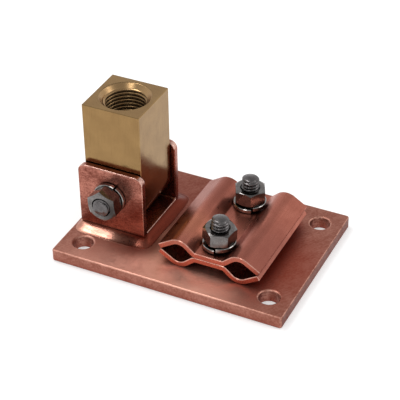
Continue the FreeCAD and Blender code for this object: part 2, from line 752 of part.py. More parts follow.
def make_clamp_plate(label, turn):
    """Make one folded clamp plate: a flat middle strip between two open channels.

    The half profile runs along the side that meets the other plate, over the channel to
    the lip, and back along the outside. The slope beside the strip touches the bend and
    the channel's arc, so its angle is atan2(dz, dx) + asin((r1 + r2) / distance).

    Args:
        label: The sub-part's label.
        turn: Rotation that faces the plate up or down.

    Returns:
        The body.
    """
    body = new_body(
        label, (CLAMP_PLACE_X, "0", "plate_thickness + clamp_sheet + clamp_rise"), turn
    )
    sheet = SIZE["clamp_sheet"]
    tight = SIZE["web_bend_radius"]
    round_in = SIZE["channel_radius"]
    bend = (SIZE["web_flat_half"], sheet + tight)
    crown = (SIZE["channel_reach"], SIZE["clamp_rise"] - round_in)
    lip = (SIZE["lip_reach"], 0.0)
    run_x = crown[0] - bend[0]
    run_z = crown[1] - bend[1]
    reach = math.asin((tight + sheet + round_in) / math.hypot(run_x, run_z))
    climb = math.degrees(math.atan2(run_z, run_x) + reach)
    fall_x = lip[0] - crown[0]
    bite = math.asin(round_in / math.hypot(fall_x, crown[1]))
    fall = math.degrees(bite + math.atan2(crown[1], fall_x))
    bend_end = climb - QUARTER_TURN
    crown_start = QUARTER_TURN - fall
    crown_end = QUARTER_TURN + climb

    half = Drawing(body, f"{label}_half", "XZ_Plane")
    inner_bend = polar(bend, tight + sheet, bend_end)
    outer_bend = polar(bend, tight, bend_end)
    inner_left = polar(crown, round_in, crown_end)
    inner_right = polar(crown, round_in, crown_start)
    outer_left = polar(crown, round_in + sheet, crown_end)
    outer_right = polar(crown, round_in + sheet, crown_start)
    lip_out = polar(lip, sheet, crown_start)
    web_in = half.line((0, 0), (bend[0], 0))
    bend_in = half.arc(bend, tight + sheet, -QUARTER_TURN, bend_end)
    climb_in = half.line(inner_bend, inner_left)
    crown_in = half.arc(crown, round_in, crown_start, crown_end)
    fall_in = half.line(inner_right, lip)
    lip_face = half.line(lip, lip_out)
    fall_out = half.line(lip_out, outer_right)
    crown_out = half.arc(crown, round_in + sheet, crown_start, crown_end)
    climb_out = half.line(outer_left, outer_bend)
    bend_out = half.arc(bend, tight, -QUARTER_TURN, bend_end)
    web_out = half.line((bend[0], sheet), (0, sheet))
    middle = half.line((0, sheet), (0, 0))
    half.flow((web_in, END), (bend_in, START))
    half.flow((bend_in, END), (climb_in, START))
    half.flow((climb_in, END), (crown_in, END))
    half.flow((crown_in, START), (fall_in, START))
    half.meet((fall_in, END), (lip_face, START))
    half.meet((lip_face, END), (fall_out, START))
    half.flow((fall_out, END), (crown_out, START))
    half.flow((crown_out, END), (climb_out, START))
    half.flow((climb_out, END), (bend_out, END))
    half.flow((bend_out, START), (web_out, START))
    half.meet((web_out, END), (middle, START))
    half.meet((middle, END), (web_in, START))
    half.meet((web_in, START), ORIGIN_POINT)
    half.square_up((web_in, middle, web_out))
    half.meet((bend_in, CENTRE), (bend_out, CENTRE))
    half.meet((crown_in, CENTRE), (crown_out, CENTRE))
    half.rule("Parallel", fall_in, fall_out)
    half.rule("Perpendicular", fall_in, lip_face)
    half.measure("DistanceY", (web_in, START), (middle, START), "clamp_sheet")
    half.measure("DistanceX", ORIGIN_POINT, (bend_in, CENTRE), "web_flat_half")
    half.radius(bend_out, "web_bend_radius")
    half.locate((crown_in, CENTRE), "channel_reach", "clamp_rise - channel_radius")
    half.radius(crown_in, "channel_radius")
    half.radius(crown_out, "channel_radius + clamp_sheet")
    half.locate((fall_in, END), "lip_reach", None)
    strip = pad(body, half, "clamp_length", both_ways=True)

    planes = [item for item in body.Origin.OriginFeatures if item.Role == "YZ_Plane"]
    both = body.newObject("PartDesign::Mirrored", f"{label}_both_halves")
    both.Originals = [strip]
    both.MirrorPlane = (planes[0], [""])
    body.Tip = both
    doc.recompute()

    half_length = SIZE["clamp_length"] / 2

    def is_sheet_edge(edge):
        """Pick the plate's two ends and the four long edges of its lips."""
        if runs_along(edge, 1):
            return abs(edge.CenterOfMass.x) > lip[0] - NEAR
        return lies_at(edge, 1, half_length) or lies_at(edge, 1, -half_length)

    soften(body, "PartDesign::Chamfer", f"{label}_edges", is_sheet_edge, "clamp_edge_break")
    holes = Drawing(body, f"{label}_holes", "XY_Plane")
    for y_sign in (-1, 1):
        ring = holes.circle((0, y_sign * SIZE["screw_spacing"] / 2), SIZE["clamp_hole_dia"] / 2)
        holes.radius(ring, "clamp_hole_dia / 2")
        holes.locate((ring, CENTRE), None, "screw_spacing / 2")
    cut(body, holes, "clamp_sheet + cut_overrun", reverse=True)
    return body


def make_nut(label, place, turn):
    """Make a hexagon nut that stands on its lower face, with chamfered corners."""
    body = new_body(label, place, turn)
    outline = Drawing(body, f"{label}_hexagon", "XY_Plane")
    outline.hexagon()
    pad(body, outline, "nut_height")
    slope = math.tan(math.radians(SIZE["nut_chamfer_angle"]))
    rim = SIZE["nut_face_dia"] / 2
    wide = SIZE["nut_flats"]
    height = SIZE["nut_height"]
    for name, level, sign in (("top", height, 1), ("base", 0.0, -1)):
        corner = Drawing(body, f"{label}_{name}_chamfer", "XZ_Plane")
        lines = corner.polygon(
            ((rim, level), (wide, level), (wide, level - sign * (wide - rim) * slope))
        )
        corner.square_up(lines)
        up = "nut_height" if name == "top" else None
        corner.locate((lines[0], START), "nut_face_dia / 2", up)
        corner.measure("DistanceX", ORIGIN_POINT, (lines[1], START), "nut_flats")
        drop = "(nut_flats - nut_face_dia / 2) * tan(nut_chamfer_angle)"
        low, high = ((lines[2], START), (lines[1], START))
        if name == "base":
            low, high = high, low
        corner.measure("DistanceY", low, high, drop)
        turn_profile(body, corner, "PartDesign::Groove")
    hole = Drawing(body, f"{label}_hole", "XY_Plane")
    bore = SIZE["bolt_dia"] / 2 + SIZE["nut_thread_fit"]
    ring = hole.circle((0, 0), bore)
    hole.radius(ring, "bolt_dia / 2 + nut_thread_fit")
    hole.meet((ring, CENTRE), ORIGIN_POINT)
    cut(body, hole, "nut_height", reverse=True)
    soften(
        body,
        "PartDesign::Chamfer",
        f"{label}_mouths",
        lambda edge: is_rim(edge, bore),
        "nut_mouth_break",
    )
    return body


def make_spring_washer(label, place, turn, rise):
    """Make a spring washer, a ring that climbs clockwise from its low end to its high end.

    The low end starts on the local +X side. The pitch is the rise divided by the share of
    a full turn that the ring covers.

    Args:
        label: The sub-part's label.
        place: Position of the washer's lower face, as three formulas.
        turn: Rotation of the body.
        rise: Alias of the step between the two ends.

    Returns:
        The body.
    """
    body = new_body(label, place, turn)
    inner = SIZE["washer_inner_dia"] / 2
    outer = SIZE["washer_outer_dia"] / 2
    edge = SIZE["washer_edge_break"]
    height = SIZE["washer_thickness"]
    section = Drawing(body, f"{label}_section", "XZ_Plane")
    lines = section.polygon(
        (
            (inner, 0),
            (outer - edge, 0),
            (outer, edge),
            (outer, height - edge),
            (outer - edge, height),
            (inner, height),
        )
    )
    section.square_up(lines)
    section.locate((lines[0], START), "washer_inner_dia / 2", None)
    flat = "washer_outer_dia / 2 - washer_edge_break"
    section.measure("DistanceX", ORIGIN_POINT, (lines[1], START), flat)
    section.locate((lines[2], START), "washer_outer_dia / 2", "washer_edge_break")
    section.measure(
        "DistanceY", ORIGIN_POINT, (lines[3], START), "washer_thickness - washer_edge_break"
    )
    section.locate((lines[4], START), flat, "washer_thickness")
    section.sketch.Visibility = False
    doc.recompute()
    coil = body.newObject("PartDesign::AdditiveHelix", f"{label}_coil")
    coil.Profile = section.sketch
    coil.ReferenceAxis = (section.sketch, ["V_Axis"])
    coil.Mode = "pitch-turns-angle"
    coil.LeftHanded = True
    share = f"(1 - washer_split_angle / {FULL_TURN})"
    bind(coil, "Turns", share)
    bind(coil, "Pitch", f"{rise} / {share}")
    doc.recompute()
    return body


def make_pivot_bolt():
    """Make the pivot bolt: shank and chamfered end forwards, hexagon head at the back."""
    turn = FreeCAD.Rotation(FreeCAD.Vector(1, 0, 0), QUARTER_TURN)
    place = (PIVOT_PLACE_X, "ear_inner_half + strip_thickness", "pivot_height")
    body = new_body("pivot_bolt", place, turn)
    shank = SIZE["bolt_dia"] / 2
    tip = SIZE["bolt_tip_dia"] / 2
    length = SIZE["pivot_bolt_reach"] + SIZE["ear_inner_half"] + SIZE["strip_thickness"]
    formula = "pivot_bolt_reach + ear_inner_half + strip_thickness"
    profile = Drawing(body, "pivot_shank", "XZ_Plane")
    taper = SIZE["bolt_tip_length"]
    lines = profile.polygon(
        ((0, 0), (shank, 0), (shank, length - taper), (tip, length), (0, length))
    )
    profile.square_up(lines)
    profile.meet((lines[0], START), ORIGIN_POINT)
    profile.locate((lines[2], START), "bolt_dia / 2", f"{formula} - bolt_tip_length")
    profile.locate((lines[3], START), "bolt_tip_dia / 2", formula)
    turn_profile(body, profile, "PartDesign::Revolution")
    head = Drawing(body, "pivot_head", "XY_Plane")
    head.hexagon()
    pad(body, head, "hex_head_height", reverse=True)
    slope = math.tan(math.radians(SIZE["nut_chamfer_angle"]))
    rim = SIZE["nut_face_dia"] / 2
    wide = SIZE["nut_flats"]
    level = -SIZE["hex_head_height"]
    corner = Drawing(body, "pivot_head_chamfer", "XZ_Plane")
    lines = corner.polygon(((rim, level), (wide, level), (wide, level + (wide - rim) * slope)))
    corner.square_up(lines)
    corner.locate((lines[0], START), "nut_face_dia / 2", "hex_head_height")
    corner.measure("DistanceX", ORIGIN_POINT, (lines[1], START), "nut_flats")
    corner.measure(
        "DistanceY",
        (lines[1], START),
        (lines[2], START),
        "(nut_flats - nut_face_dia / 2) * tan(nut_chamfer_angle)",
    )
    turn_profile(body, corner, "PartDesign::Groove")
    return body


def make_clamp_screw(label, place, turn):
    """Make a countersunk screw that stands on its slotted head."""
    body = new_body(label, place, turn)
    shank = SIZE["bolt_dia"] / 2
    tip = SIZE["bolt_tip_dia"] / 2
    head = SIZE["flush_head_dia"] / 2
    land = SIZE["flush_head_land"]
    cone = (head - shank) / math.tan(math.radians(SIZE["flush_head_angle"] / 2))
    length = SIZE["clamp_screw_top"] - SIZE["flush_head_inset"]
    taper = SIZE["bolt_tip_length"]
    profile = Drawing(body, f"{label}_profile", "XZ_Plane")
    lines = profile.polygon(
        (
            (0, 0),
            (head, 0),
            (head, land),
            (shank, land + cone),
            (shank, length - taper),
            (tip, length),
            (0, length),
        )
    )
    profile.square_up(lines)
    profile.meet((lines[0], START), ORIGIN_POINT)
    profile.locate((lines[2], START), "flush_head_dia / 2", "flush_head_land")
    profile.locate(
        (lines[3], START),
        "bolt_dia / 2",
        "flush_head_land + (flush_head_dia - bolt_dia) / 2 / tan(flush_head_angle / 2)",
    )
    profile.measure(
        "DistanceY",
        ORIGIN_POINT,
        (lines[4], START),
        "clamp_screw_top - flush_head_inset - bolt_tip_length",
    )
    profile.locate((lines[5], START), "bolt_tip_dia / 2", "clamp_screw_top - flush_head_inset")
    turn_profile(body, profile, "PartDesign::Revolution")
    slot = Drawing(body, f"{label}_slot", "XY_Plane")
    half = SIZE["flush_slot_width"] / 2
    slot.rectangle(
        (-head, "flush_head_dia / 2"),
        (head, "flush_head_dia / 2"),
        (-half, "flush_slot_width / 2"),
        (half, "flush_slot_width / 2"),
    )
    cut(body, slot, "flush_slot_depth", reverse=True)
    return body


def make_clamp_fasteners(side, sign):
    """Make a clamp screw with its spring washer and nut.

    Args:
        side: front or rear.
        sign: "-" for the front and "" for the rear.

    Returns:
        The three bodies.
    """
    upright = FreeCAD.Vector(0, 0, 1)
    across = f"{sign}screw_spacing / 2"
    angle = f"{side}_screw_lean"
    leaning = FreeCAD.Rotation(FreeCAD.Vector(0, 1, 0), SIZE[angle])
    washer = f"clamp_spring_washer_{side}"
    nut = f"clamp_nut_{side}"
    web_top = "plate_thickness + 2 * clamp_sheet + clamp_rise"
    washer_height = f"{web_top} + {side}_washer_perch"
    nut_height = f"{washer_height} + clamp_washer_rise + washer_thickness + clamp_nut_gap"
    washer_side = f"({washer_height} - flush_head_inset) * tan({angle})"
    nut_side = f"({nut_height} - flush_head_inset) * tan({angle})"
    return [
        make_clamp_screw(
            f"clamp_screw_{side}", (CLAMP_PLACE_X, across, "flush_head_inset"), leaning
        ),
        make_spring_washer(
            washer,
            (f"{CLAMP_PLACE_X} + {washer_side}", across, washer_height),
            FreeCAD.Rotation(upright, TURNS[washer]),
            "clamp_washer_rise",
        ),
        make_nut(
            nut,
            (f"{CLAMP_PLACE_X} + {nut_side}", across, nut_height),
            leaning.multiply(FreeCAD.Rotation(upright, TURNS[nut])),
        ),
    ]


def make_pivot_fasteners():
    """Make the pivot bolt with the spring washer and the nut in front of the ear."""
    forward = FreeCAD.Rotation(FreeCAD.Vector(1, 0, 0), QUARTER_TURN)
    upright = FreeCAD.Vector(0, 0, 1)
    face = "-(ear_inner_half + strip_thickness"
    seat = "washer_thickness + pivot_washer_rise + 2 * washer_seat_gap"
    return [
        make_pivot_bolt(),
        make_spring_washer(
            "pivot_spring_washer",
            (PIVOT_PLACE_X, f"{face} + washer_seat_gap)", "pivot_height"),
            forward.multiply(FreeCAD.Rotation(upright, TURNS["pivot_spring_washer"])),
            "pivot_washer_rise",
        ),
        make_nut(
            "pivot_nut",
            (PIVOT_PLACE_X, f"{face} + {seat})", "pivot_height"),
            forward.multiply(FreeCAD.Rotation(upright, TURNS["pivot_nut"])),
        ),
    ]


def check_and_export(bodies):
    """Refuse any broken object, then write each sub-part's solid.

    Args:
        bodies: Every finished body.
    """
    for item in doc.Objects:
        if "Invalid" in item.State or "Error" in item.State:
            raise ValueError(f"{item.Name} is in state {item.State}")
    os.makedirs("parts", exist_ok=True)
    for body in bodies:
        shape = body.Shape
        if shape.isNull() or not shape.isValid() or len(shape.Solids) != 1:
            raise ValueError(f"{body.Label} is not one valid solid")
        shape.exportStep(f"parts/{body.Label}.step")
        print(f"{body.Label}: {shape.Volume:.1f} mm3, faces {len(shape.Faces)}")


def main():
    """Make every sub-part and write it."""
    bodies = [make_base_plate(), make_swivel_bracket(), make_braze_fillet(), make_rod_socket()]
    bodies.extend(make_pivot_fasteners())
    bodies.append(make_clamp_plate("clamp_upper", FreeCAD.Rotation()))
    upside_down = FreeCAD.Rotation(FreeCAD.Vector(0, 1, 0), HALF_TURN)
    bodies.append(make_clamp_plate("clamp_lower", upside_down))
    bodies.extend(make_clamp_fasteners("front", "-"))
    bodies.extend(make_clamp_fasteners("rear", ""))
    doc.recompute()
    check_and_export(bodies)


main()
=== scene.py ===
"""Looks of an air terminal base: copper plate, swivel bracket, brass rod socket, cable clamp.

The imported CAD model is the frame. This script adds what a solid of a few faces can't show:
the thread cut in the rod socket, the threads and slots of the bolts, the run of the braze,
and the finish of every metal. All lengths below are in millimetres unless a docstring says metres.
"""
from __future__ import annotations

import json
import logging
import math
from dataclasses import dataclass, replace
from enum import Enum

import bpy
import numpy as np
from bpy.types import Material, Node, NodeSocket, NodeTree, Object
from mathutils import Matrix, Vector

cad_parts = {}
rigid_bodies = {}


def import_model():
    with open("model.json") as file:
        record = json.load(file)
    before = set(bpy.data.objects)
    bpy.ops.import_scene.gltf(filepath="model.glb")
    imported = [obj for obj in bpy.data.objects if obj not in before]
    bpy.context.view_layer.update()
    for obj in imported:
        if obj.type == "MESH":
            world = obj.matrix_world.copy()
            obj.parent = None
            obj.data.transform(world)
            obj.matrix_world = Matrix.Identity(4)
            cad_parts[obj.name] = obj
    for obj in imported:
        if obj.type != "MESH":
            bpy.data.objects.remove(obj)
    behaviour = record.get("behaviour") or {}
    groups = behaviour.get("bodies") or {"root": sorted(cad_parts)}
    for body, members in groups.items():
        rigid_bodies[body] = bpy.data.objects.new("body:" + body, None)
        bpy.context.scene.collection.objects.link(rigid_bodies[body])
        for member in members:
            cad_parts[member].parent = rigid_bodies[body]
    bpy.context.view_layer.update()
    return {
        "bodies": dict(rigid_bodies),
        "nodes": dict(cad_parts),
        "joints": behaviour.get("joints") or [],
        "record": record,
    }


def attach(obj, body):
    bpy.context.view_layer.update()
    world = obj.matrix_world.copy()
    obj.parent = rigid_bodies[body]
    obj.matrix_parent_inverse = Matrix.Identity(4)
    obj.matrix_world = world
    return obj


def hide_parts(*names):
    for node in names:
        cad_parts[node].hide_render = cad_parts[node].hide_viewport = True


LOG = logging.getLogger("air_terminal_base")
MM = 0.001
FULL_TURN = 2 * math.pi
WHITE = (1.0, 1.0, 1.0, 1.0)
Triple = tuple[float, float, float]
# Middle of the bracket, its socket and its pivot along X, and an ear's outer face along Y.
SWIVEL_X = -29.3
EAR_Y = 13.88125


class Slot(Enum):
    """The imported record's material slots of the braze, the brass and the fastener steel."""

    BRAZE = "braze"
    BRASS = "brass"
    STEEL = "fastener_steel"


class Carrier(Enum):
    """The two bodies that a piece can ride on."""

    BASE = "base"
    SOCKET = "socket"


class HeadKind(Enum):
    """How a bolt's head is formed."""

    FLUSH = "flush"
    HEXAGON = "hexagon"


class EdgeRule(Enum):
    """Which rounded edges of a piece handling has worn smooth, with a pale colour that paints their
    highlight.

    SQUARE takes the edges between faces that are square to the axes, and ENDS those round the ends
    of a plate folded along Y. The value is where the edge's mark of wear and painted highlight
    starts to show, and where it is full.
    """

    SQUARE = (0.995, 0.86)
    ENDS = (0.02, 0.2)
    NONE = (0.0, 0.0)


def linear_colour(code: str) -> tuple[float, float, float, float]:
    """Turn an sRGB hex code into a linear colour with full alpha.

    Each channel c above 0.04045 becomes ((c + 0.055) / 1.055) to the power 2.4, and a
    darker one becomes c / 12.92.

    Args:
        code: Six hexadecimal digits, with or without a leading #.

    Returns:
        Red, green, blue and alpha.
    """
    digits = code.lstrip("#")
    channels = np.array([int(digits[i : i + 2], 16) / 255 for i in (0, 2, 4)])
    curve = np.where(channels > 0.04045, ((channels + 0.055) / 1.055) ** 2.4, channels / 12.92)
    return (float(curve[0]), float(curve[1]), float(curve[2]), 1.0)


def add_node(
    tree: NodeTree,
    kind: str,
    sockets: dict[str | int, object] | None = None,
    **settings: object,
) -> Node:
    """Add one node, set its properties, and set or link its inputs.

    Args:
        tree: The node tree to add to.
        kind: The node's type name.
        sockets: Input name or number to a value, or to an output socket to link from.
        **settings: Properties of the node itself.

    Returns:
        The new node.
    """
    node = tree.nodes.new(kind)
    for key, value in settings.items():
        setattr(node, key, value)
    for key, value in (sockets or {}).items():
        if isinstance(value, NodeSocket):
            tree.links.new(value, node.inputs[key])
        else:
            node.inputs[key].default_value = value
    return node


def smooth_step(values: np.ndarray) -> np.ndarray:
    """Ease from 0 to 1 as 3 t squared minus 2 t cubed, with t held between 0 and 1."""
    held = np.clip(values, 0.0, 1.0)
    return held * held * (3 - 2 * held)


def polar_points(radius: np.ndarray, angle: np.ndarray, height: np.ndarray) -> np.ndarray:
    """Give the points at radius times (cos, sin) of an angle, and a height, on a last axis."""
    return np.stack((radius * np.cos(angle), radius * np.sin(angle), height), axis=-1)


def sheet_faces(rows: int, columns: int, wrap_rows: bool) -> np.ndarray:
    """Give the quads of a grid whose columns close into a ring.

    Args:
        rows: Number of rings.
        columns: Points in a ring.
        wrap_rows: Whether the last ring joins the first.

    Returns:
        Vertex numbers, four to a quad.
    """
    last = rows if wrap_rows else rows - 1
    row, column = np.meshgrid(np.arange(last), np.arange(columns), indexing="ij")
    above = (row + 1) % rows
    beside = (column + 1) % columns
    corners = (row * columns + column, row * columns + beside)
    corners += (above * columns + beside, above * columns + column)
    return np.stack(corners, axis=-1).reshape(-1, 4)


@dataclass(frozen=True)
class Placing:
    """Where a turned piece stands.

    Attributes:
        foot: Position of the piece's own origin.
        matrix: Rotation from the piece's own axes to the frame's.
    """

    foot: Triple
    matrix: Matrix

    def carry(self, points: np.ndarray) -> np.ndarray:
        """Turn points with the matrix, then move them to the foot."""
        turn = np.array(self.matrix)
        return points @ turn.T + np.array(self.foot)


def closed_rings(name: str, rings: np.ndarray, placing: Placing, caps: bool) -> Object:
    """Make an object from rings of points, closed by two poles or onto itself.

    Each face and the origin make a cone. Where the cones' volumes add up to less than 0,
    the faces point inwards and are turned round.

    Args:
        name: The object's name.
        rings: Points as (ring, point, xyz) in millimetres.
        placing: Where the piece stands.
        caps: Whether the first and last rings close to their middles; otherwise the
            last ring joins the first.

    Returns:
        The object, at the origin, with its place in its mesh.
    """
    rows, columns = rings.shape[:2]
    points = rings.reshape(-1, 3)
    quads = sheet_faces(rows, columns, wrap_rows=not caps)
    fans = np.empty((0, 3), dtype=int)
    if caps:
        points = np.vstack((points, rings[0].mean(axis=0), rings[-1].mean(axis=0)))
        near = np.arange(columns)
        beside = (near + 1) % columns
        pole = np.full(columns, rows * columns)
        last = (rows - 1) * columns
        foot = np.stack((beside, near, pole), axis=1)
        fans = np.vstack((foot, np.stack((last + near, last + beside, pole + 1), axis=1)))
    placed = placing.carry(points)
    first, second, third = placed[np.vstack((quads[:, :3], quads[:, [0, 2, 3]], fans)).T]
    faces = quads.tolist() + fans.tolist()
    if np.sum(first * np.cross(second, third)) < 0:
        faces = [face[::-1] for face in faces]
    mesh = bpy.data.meshes.new(name)
    mesh.from_pydata((placed * MM).tolist(), [], faces)
    mesh.polygons.foreach_set("use_smooth", np.full(len(mesh.polygons), True))
    mesh.update()
    piece = bpy.data.objects.new(name, mesh)
    bpy.context.scene.collection.objects.link(piece)
    return piece


def dress(piece: Object, finish: Material) -> None:
    """Give a new piece its finish.

    Args:
        piece: The piece's object.
        finish: The finish.
    """
    piece.data.materials.append(finish)
    LOG.info("%s made in %s", piece.name, finish.name)


def dress_node(node: Object, finish: Material) -> None:
    """Give a CAD node a finish in all of its material slots.

    Args:
        node: The node's object.
        finish: The finish.
    """
    if not node.material_slots:
        node.data.materials.append(finish)
    for held in node.material_slots:
        held.material = finish
    LOG.info("%s dressed in %s", node.name, finish.name)


@dataclass(frozen=True)
class Streaks:
    """Fine lines that rolling, drawing or brushing leaves along one direction.

    Attributes:
        width: Distance between lines.
        length: Length of a line.
        turn: Turns about X, Y and Z, in degrees, that bring the X axis onto the lines.
    """

    width: float
    length: float
    turn: Triple = (0.0, 0.0, 0.0)


@dataclass(frozen=True)
class Bloom:
    """A round patch of painted light or painted shade, which fades outwards.

    Attributes:
        centre: Middle of the patch.
        near: Radius inside which it is full.
        far: Radius where it has gone.
        colour: Colour of the patch.
        share: How much of it shows at its fullest, from 0 to 1.
        facing: The way that the faces with the patch look.
    """

    centre: Triple
    near: float
    far: float
    colour: str
    share: float
    facing: Triple = (0.0, 0.0, 1.0)


# How many finer layers the noises of the grain, the streaks and the clouds have.
NOISE_LAYERS = (3.0, 4.0, 3.0)
# A finish adds up three noises to about 1.5. Its tone is dark at the first of these sums and
# light at the second.
TONE_SUMS = (1.2, 1.8)
# How much rougher than the middle the dark metal is, and how much smoother the light metal.
DULL_HOLLOWS = 0.08
BRIGHT_CRESTS = 0.06
# Sums at which an edge's wear and painted highlight start and are full, and the share of them that
# it keeps below.
WEAR_SUMS = (1.25, 1.6)
WEAR_FLOOR = 0.3
# How much smoother a fully worn edge is.
WEAR_POLISH = 0.1
# Shares of open sky at which the painted shade of corners and hollows is full and at which it has
# gone, and the number of rays that look for it.
OPEN_SKY = (0.3, 0.85)
SKY_RAYS = 8


@dataclass(frozen=True)
class MetalFinish:
    """Bare metal with a grain, streaks, cloudy tarnish, worn edges, and painted light and shade.

    The tone falls from light to dark with the sum of a fine grain, the streaks and a cloud.
    Handling wears the rounded edges smooth, and a pale colour on them paints their highlight. A
    dark colour paints shade where little of the sky reaches the surface, and patches paint light
    and shade elsewhere.

    Attributes:
        name: The material's name.
        light: Colour on the open metal.
        dark: Colour of the tarnish and of the grain's hollows.
        soot: Colour of the painted shade in corners and hollows.
        roughness: Middle roughness.
        streaks: The lines of the finish.
        worn: Colour of the handled edges, pale to paint their highlight.
        grain_size: Size of the grain.
        grain_depth: Height of the grain and streaks.
        cloud_size: Size of the tarnish clouds.
        contrast: How much of the dark colour shows, from 0 to 1.
        edge_rule: Which edges are worn and take the painted highlight.
        edge_share: How much of the worn, highlight colour shows on them, from 0 to 1.
        dirt_reach: How near a neighbour has to be for painted shade to fall.
        dirt_share: How much of the painted shade shows, from 0 to 1.
        blooms: Patches of painted light and shade, laid one over the other.
        metallic: Share of bare metal; the rest is a matt film of oxide.
    """

    name: str
    light: str
    dark: str
    soot: str
    roughness: float
    streaks: Streaks
    worn: str = "#FFFFFF"
    grain_size: float = 0.45
    grain_depth: float = 0.02
    cloud_size: float = 5.0
    contrast: float = 0.7
    edge_rule: EdgeRule = EdgeRule.SQUARE
    edge_share: float = 0.6
    dirt_reach: float = 3.0
    dirt_share: float = 0.8
    blooms: tuple[Bloom, ...] = ()
    metallic: float = 1.0

    def pattern(self, tree: NodeTree, place: NodeSocket) -> tuple[NodeSocket, NodeSocket]:
        """Add up the grain, the streaks and the clouds, each a noise about 0.5.

        Args:
            tree: The node tree to add to.
            place: Socket with the position in object space.

        Returns:
            The sum of grain and streaks, and the sum of all three.
        """
        width = self.streaks.width * MM
        # A Mapping node of the texture kind turns back first and then divides by the size.
        frame = {
            "Vector": place,
            "Rotation": tuple(math.radians(turn) for turn in self.streaks.turn),
            "Scale": (self.streaks.length * MM, width, width),
        }
        drawn = add_node(tree, "ShaderNodeMapping", frame, vector_type="TEXTURE")
        scales = (
            {"Vector": place, "Scale": 1 / (self.grain_size * MM)},
            {"Vector": drawn.outputs["Vector"], "Scale": 1.0},
            {"Vector": place, "Scale": 1 / (self.cloud_size * MM)},
        )
        total: NodeSocket | float = 0.0
        sums = []
        for scale, layers in zip(scales, NOISE_LAYERS):
            noise = add_node(tree, "ShaderNodeTexNoise", {**scale, "Detail": layers})
            pair = {0: total, 1: noise.outputs["Fac"]}
            total = add_node(tree, "ShaderNodeMath", pair, operation="ADD").outputs[0]
            sums.append(total)
        return sums[1], sums[2]

    def worn_share(self, tree: NodeTree, normal: NodeSocket, total: NodeSocket) -> NodeSocket:
        """Find how much of the worn colour, which paints the edges' highlight, shows: on the edges,
        more on the light metal.

        The edges are found from the direction that the surface faces. On a piece square
        to the axes only the rounds face between two axes, so the largest part of the
        normal falls below 1 there. Round the ends of a folded plate it is the Y part a
        that lies between 0 and 1, and a squared times 1 less a squared marks it.

        Args:
            tree: The node tree to add to.
            normal: Socket with the surface's normal in object space.
            total: Socket with the pattern's sum.

        Returns:
            A socket with the share.
        """
        size = add_node(tree, "ShaderNodeVectorMath", {0: normal}, operation="ABSOLUTE")
        parts = add_node(tree, "ShaderNodeSeparateXYZ", {0: size.outputs[0]}).outputs
        if self.edge_rule is EdgeRule.ENDS:
            pair = {0: parts["Y"], 1: parts["Y"]}
            square = add_node(tree, "ShaderNodeMath", pair, operation="MULTIPLY").outputs[0]
            rest = add_node(tree, "ShaderNodeMath", {0: 1.0, 1: square}, operation="SUBTRACT")
            pair = {0: square, 1: rest.outputs[0]}
            mark = add_node(tree, "ShaderNodeMath", pair, operation="MULTIPLY")
        else:
            pair = {0: parts["X"], 1: parts["Y"]}
            wide = add_node(tree, "ShaderNodeMath", pair, operation="MAXIMUM")
            pair = {0: wide.outputs[0], 1: parts["Z"]}
            mark = add_node(tree, "ShaderNodeMath", pair, operation="MAXIMUM")
        start, full = self.edge_rule.value
        edge = {"Value": mark.outputs[0], "From Min": start, "From Max": full}
        rubbed = {
            "Value": total,
            "From Min": WEAR_SUMS[0],
            "From Max": WEAR_SUMS[1],
            "To Min": WEAR_FLOOR * self.edge_share,
            "To Max": self.edge_share,
        }
        pair = {
            0: add_node(tree, "ShaderNodeMapRange", edge).outputs["Result"],
            1: add_node(tree, "ShaderNodeMapRange", rubbed).outputs["Result"],
        }
        return add_node(tree, "ShaderNodeMath", pair, operation="MULTIPLY").outputs[0]

    def bloom_share(self, tree: NodeTree, spot: Node, bloom: Bloom) -> NodeSocket:
        """Fade a patch of painted light or shade with the distance from its middle, on faces that
        look its way.

        Args:
            tree: The node tree to add to.
            spot: The Texture Coordinate node.
            bloom: The patch of painted light or shade.

        Returns:
            A socket with the patch's share.
        """
        centre = tuple(value * MM for value in bloom.centre)
        places = {0: spot.outputs["Object"], 1: centre}
        away = add_node(tree, "ShaderNodeVectorMath", places, operation="DISTANCE")
        span = {
            "Value": away.outputs["Value"],
            "From Min": bloom.near * MM,
            "From Max": bloom.far * MM,
            "To Min": bloom.share,
            "To Max": 0.0,
        }
        fade = add_node(tree, "ShaderNodeMapRange", span, interpolation_type="SMOOTHSTEP")
        looks = {0: spot.outputs["Normal"], 1: bloom.facing}
        toward = add_node(tree, "ShaderNodeVectorMath", looks, operation="DOT_PRODUCT")
        pair = {0: fade.outputs["Result"], 1: toward.outputs["Value"]}
        lit = add_node(tree, "ShaderNodeMath", pair, operation="MULTIPLY", use_clamp=True)
        return lit.outputs[0]

    def dirt_mask(self, tree: NodeTree) -> NodeSocket:
        """Find how much of the painted shade shows: more where less of the sky is open.

        Args:
            tree: The node tree to add to.

        Returns:
            A socket with the share.
        """
        reach = {"Distance": self.dirt_reach * MM}
        sky = add_node(tree, "ShaderNodeAmbientOcclusion", reach, samples=SKY_RAYS)
        span = {
            "Value": sky.outputs["AO"],
            "From Min": OPEN_SKY[0],
            "From Max": OPEN_SKY[1],
            "To Min": self.dirt_share,
            "To Max": 0.0,
        }
        return add_node(tree, "ShaderNodeMapRange", span).outputs["Result"]

